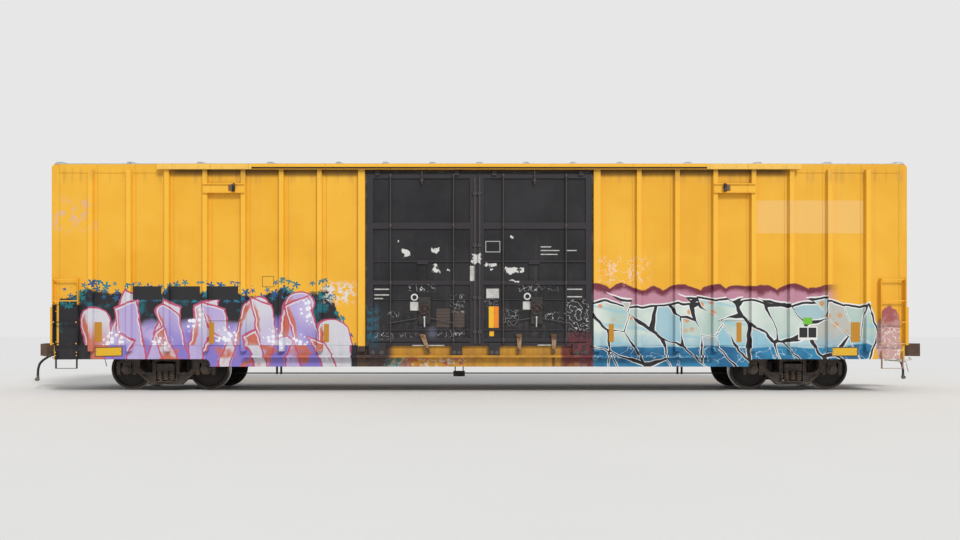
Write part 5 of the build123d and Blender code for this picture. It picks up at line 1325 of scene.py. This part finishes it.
# What draws it, name, material, slot and smooth angle
DOOR_PIECES = (
    (draw_bars, "door_bars", "door_paint", "door_paint", 0.0),
    (draw_rods, "door_rods", "rod_metal", "gear_metal", 30.0),
    (draw_bolts, "door_bolts", "gear_metal", "gear_metal", 30.0),
    (draw_seals, "door_seals", "rubber_seal", "door_paint", 0.0),
    (draw_lock_cases, "lock_cases", "gear_metal", "gear_metal", 0.0),
    (draw_lock_wheels, "lock_wheels", "dark_rust", "gear_metal", 40.0),
    (draw_lock_handles, "lock_handles", "lever_paint", "lever_paint", 30.0),
    (draw_lever_detail, "lever_bolts", "lever_steel", "lever_steel", 30.0),
)
for draw, name, material, slot, smooth in DOOR_PIECES:
    made = both_leaves(draw).piece(name, material, "carbody", slot, smooth)
    if draw is draw_lock_cases:
        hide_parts("door_lock_gear")


# Tracks, stops, ladders and steps, drawn at +X, +Y

# The hood's face, and the fronts of its strips and of what covers them
HOOD_Y = 1.6203
STRIP_Y = 1.632
COVER_Y = 1.634
STRIP_END = 4.98
COVER_END = 7.05
STOP_X = 5.37
STOP_Y = 1.59
STOP_BOTTOM, STOP_TOP = RAIL + 4.345, RAIL + 4.557
BUMPER_PROFILE = [
    (0.0, -0.1), (0.022, -0.085), (0.032, -0.045), (0.034, 0.0), (0.032, 0.045), (0.022, 0.085), (0.0, 0.1),
]
LEDGE_BOLT_PITCH = 0.838
RUNG_BOTTOM = RAIL + 1.044
RUNG_PITCH = 0.468
RUNG_END_Y = 1.609
RAIL_FOOT_Y = 1.51
STEP_Y = 1.554


def make_track_detail():
    shape = Shape()
    bolts = Shape()
    # lighter covers at the ends of the hood, and joints along it
    shape.box(STRIP_END, COVER_END, HOOD_Y, COVER_Y, RAIL + 4.860, RAIL + 4.978)
    shape.box(0.0, STRIP_END, HOOD_Y, STRIP_Y, RAIL + 4.907, RAIL + 4.979)
    shape.box(0.0, STRIP_END, HOOD_Y, STRIP_Y, RAIL + 4.859, RAIL + 4.870)
    for x in (1.6, 3.2):
        shape.box(x - 0.02, x + 0.02, HOOD_Y, COVER_Y, RAIL + 4.910, RAIL + 4.972)
    for k in range(8):
        bolts.bolt((5.1 + 0.26 * k, COVER_Y, RAIL + 4.92), 0.009, 0.007)
    # bolts on top of the hood, and those of the ledge
    for k in range(8):
        bolts.bolt((0.42 + POST_PITCH * k, 1.56, RAIL + 4.978), 0.011, 0.008, (0, 0, 1))
    for k in range(7):
        x = LEDGE_BOLT_PITCH * k
        for dx in (-0.022, 0.022):
            bolts.bolt((x + dx, 1.55, RAIL + 0.751), 0.009, 0.007, (0, 0, 1))
            bolts.bolt((x + dx, SILL_Y, RAIL + 0.71), 0.009, 0.007)
    shape.copies(CORNERS).piece("track_covers", "body_paint", slot="body_paint")
    bolts.copies(CORNERS).piece("track_bolts", "body_paint", slot="body_paint", smooth=30.0)


def make_door_stops():
    """Lens-shaped rubber bumpers with rusty brackets on the plates high on the posts."""
    rubber = Shape()
    rusty = Shape()
    rubber.lathe(BUMPER_PROFILE, (STOP_X, STOP_Y + 0.045, (STOP_BOTTOM + STOP_TOP) / 2 + 0.01), 18, (0, 0, 1))
    root = STOP_X + 0.052
    rusty.box(root - 0.012, root, STOP_Y, STOP_Y + 0.05, STOP_BOTTOM + 0.03, STOP_TOP - 0.02)
    rusty.box(root, STOP_X + 0.13, STOP_Y, STOP_Y + 0.010, STOP_BOTTOM + 0.05, STOP_TOP - 0.04)
    for dz in (0.07, 0.13):
        rusty.bolt((STOP_X + 0.09, STOP_Y + 0.010, STOP_BOTTOM + dz), 0.011, 0.01)
    rubber.copies(CORNERS).piece("stop_bumpers", "rubber_seal", slot="door_paint", smooth=40.0)
    rusty.copies(CORNERS).piece("stop_brackets", "rusty_metal", slot="gear_metal", smooth=30.0)


def make_ladder_detail():
    bolts = Shape()
    # ends of the rungs, and feet of the rails, which stand further in
    for x, foot_x in ((8.83, 8.843), (9.33, 9.317)):
        for k in range(4):
            bolts.bolt((x, RUNG_END_Y, RUNG_BOTTOM + RUNG_PITCH * k), 0.012, 0.009)
        for z in (1.08, 1.75, 2.40):
            bolts.bolt((foot_x, RAIL_FOOT_Y, RAIL + z), 0.010, 0.008)
    # sill steps
    for x in (8.845, 9.309):
        for z in (0.78, 0.85):
            bolts.bolt((x, STEP_Y, RAIL + z), 0.011, 0.009)
    # rivets on the corner strip
    for k in range(9):
        bolts.rivet((9.385, SHEET_Y, RAIL + 1.15 + 0.42 * k), 0.010)
    bolts.copies(CORNERS).piece("ladder_bolts", "body_paint", slot="body_paint", smooth=30.0)


make_track_detail()
make_door_stops()
make_ladder_detail()


# Reflectors on both sides, plates and a label on the near side

# x from, x to, z from, z to, and the face that carries it
REFLECTORS = [
    (-8.50, -8.31, 1.10, 1.54, SHEET_Y), (-5.950, -5.835, 1.07, 1.535, RAISED_Y),
    (-3.42, -3.31, 1.10, 1.50, SHEET_Y), (2.85, 2.963, 1.10, 1.50, SHEET_Y),
    (5.66, 5.77, 1.10, 1.535, RAISED_Y), (8.18, 8.38, 1.10, 1.54, SHEET_Y),
]
SHEETING = 0.0025
# Blank plates on the sill: x from, x to, z from, z to, and how much lower the left end hangs
PLATES = ((-8.465, -7.86, 0.79, 1.0, -0.012), (7.755, 8.335, 0.79, 0.99, -0.004))
PLATE_THICKNESS = 0.006
PLATE_FACE = 0.0075
PLATE_BORDER = 0.018
# x from, x to, and z from and to above the rail
LABEL_FIELDS = ((0.208, 0.426, 1.388, 1.86), (0.222, 0.322, 1.205, 1.318))
LABEL_THICKNESS = 0.0015


def make_plates():
    reflectors = Shape()
    for x0, x1, z0, z1, face in REFLECTORS:
        for side in (-1, 1):
            reflectors.box(x0, x1, side * face, side * (face + SHEETING), z0, z1)
    reflectors.piece("reflectors", "reflector_sheet", slot="body_paint")

    borders = Shape()
    faces = Shape()
    for x0, x1, z0, z1, lean in PLATES:

        def ring(proud, inset=0.0):
            y = -SILL_Y - proud
            left, right, low, high = x0 + inset, x1 - inset, z0 + inset, z1 - inset
            return [(left, y, low + lean), (right, y, low), (right, y, high), (left, y, high + lean)]

        borders.loft([ring(0.0), ring(PLATE_THICKNESS)])
        faces.loft([ring(PLATE_THICKNESS, PLATE_BORDER), ring(PLATE_FACE, PLATE_BORDER)])
        for x in (x0 + 0.03, x1 - 0.03):
            borders.rivet((x, -SILL_Y - PLATE_FACE, (z0 + z1) / 2), 0.008, (0, -1, 0))
    borders.piece("plate_borders", "plate_dark", slot="body_paint")
    faces.piece("plate_faces", "plate_yellow", slot="body_paint")

    label = Shape()
    for x0, x1, z0, z1 in LABEL_FIELDS:
        label.box(x0, x1, -DOOR_SKIN_Y - LABEL_THICKNESS, -DOOR_SKIN_Y, RAIL + z0, RAIL + z1)
    label.piece("amber_label", "amber_label", slot="door_paint")


make_plates()
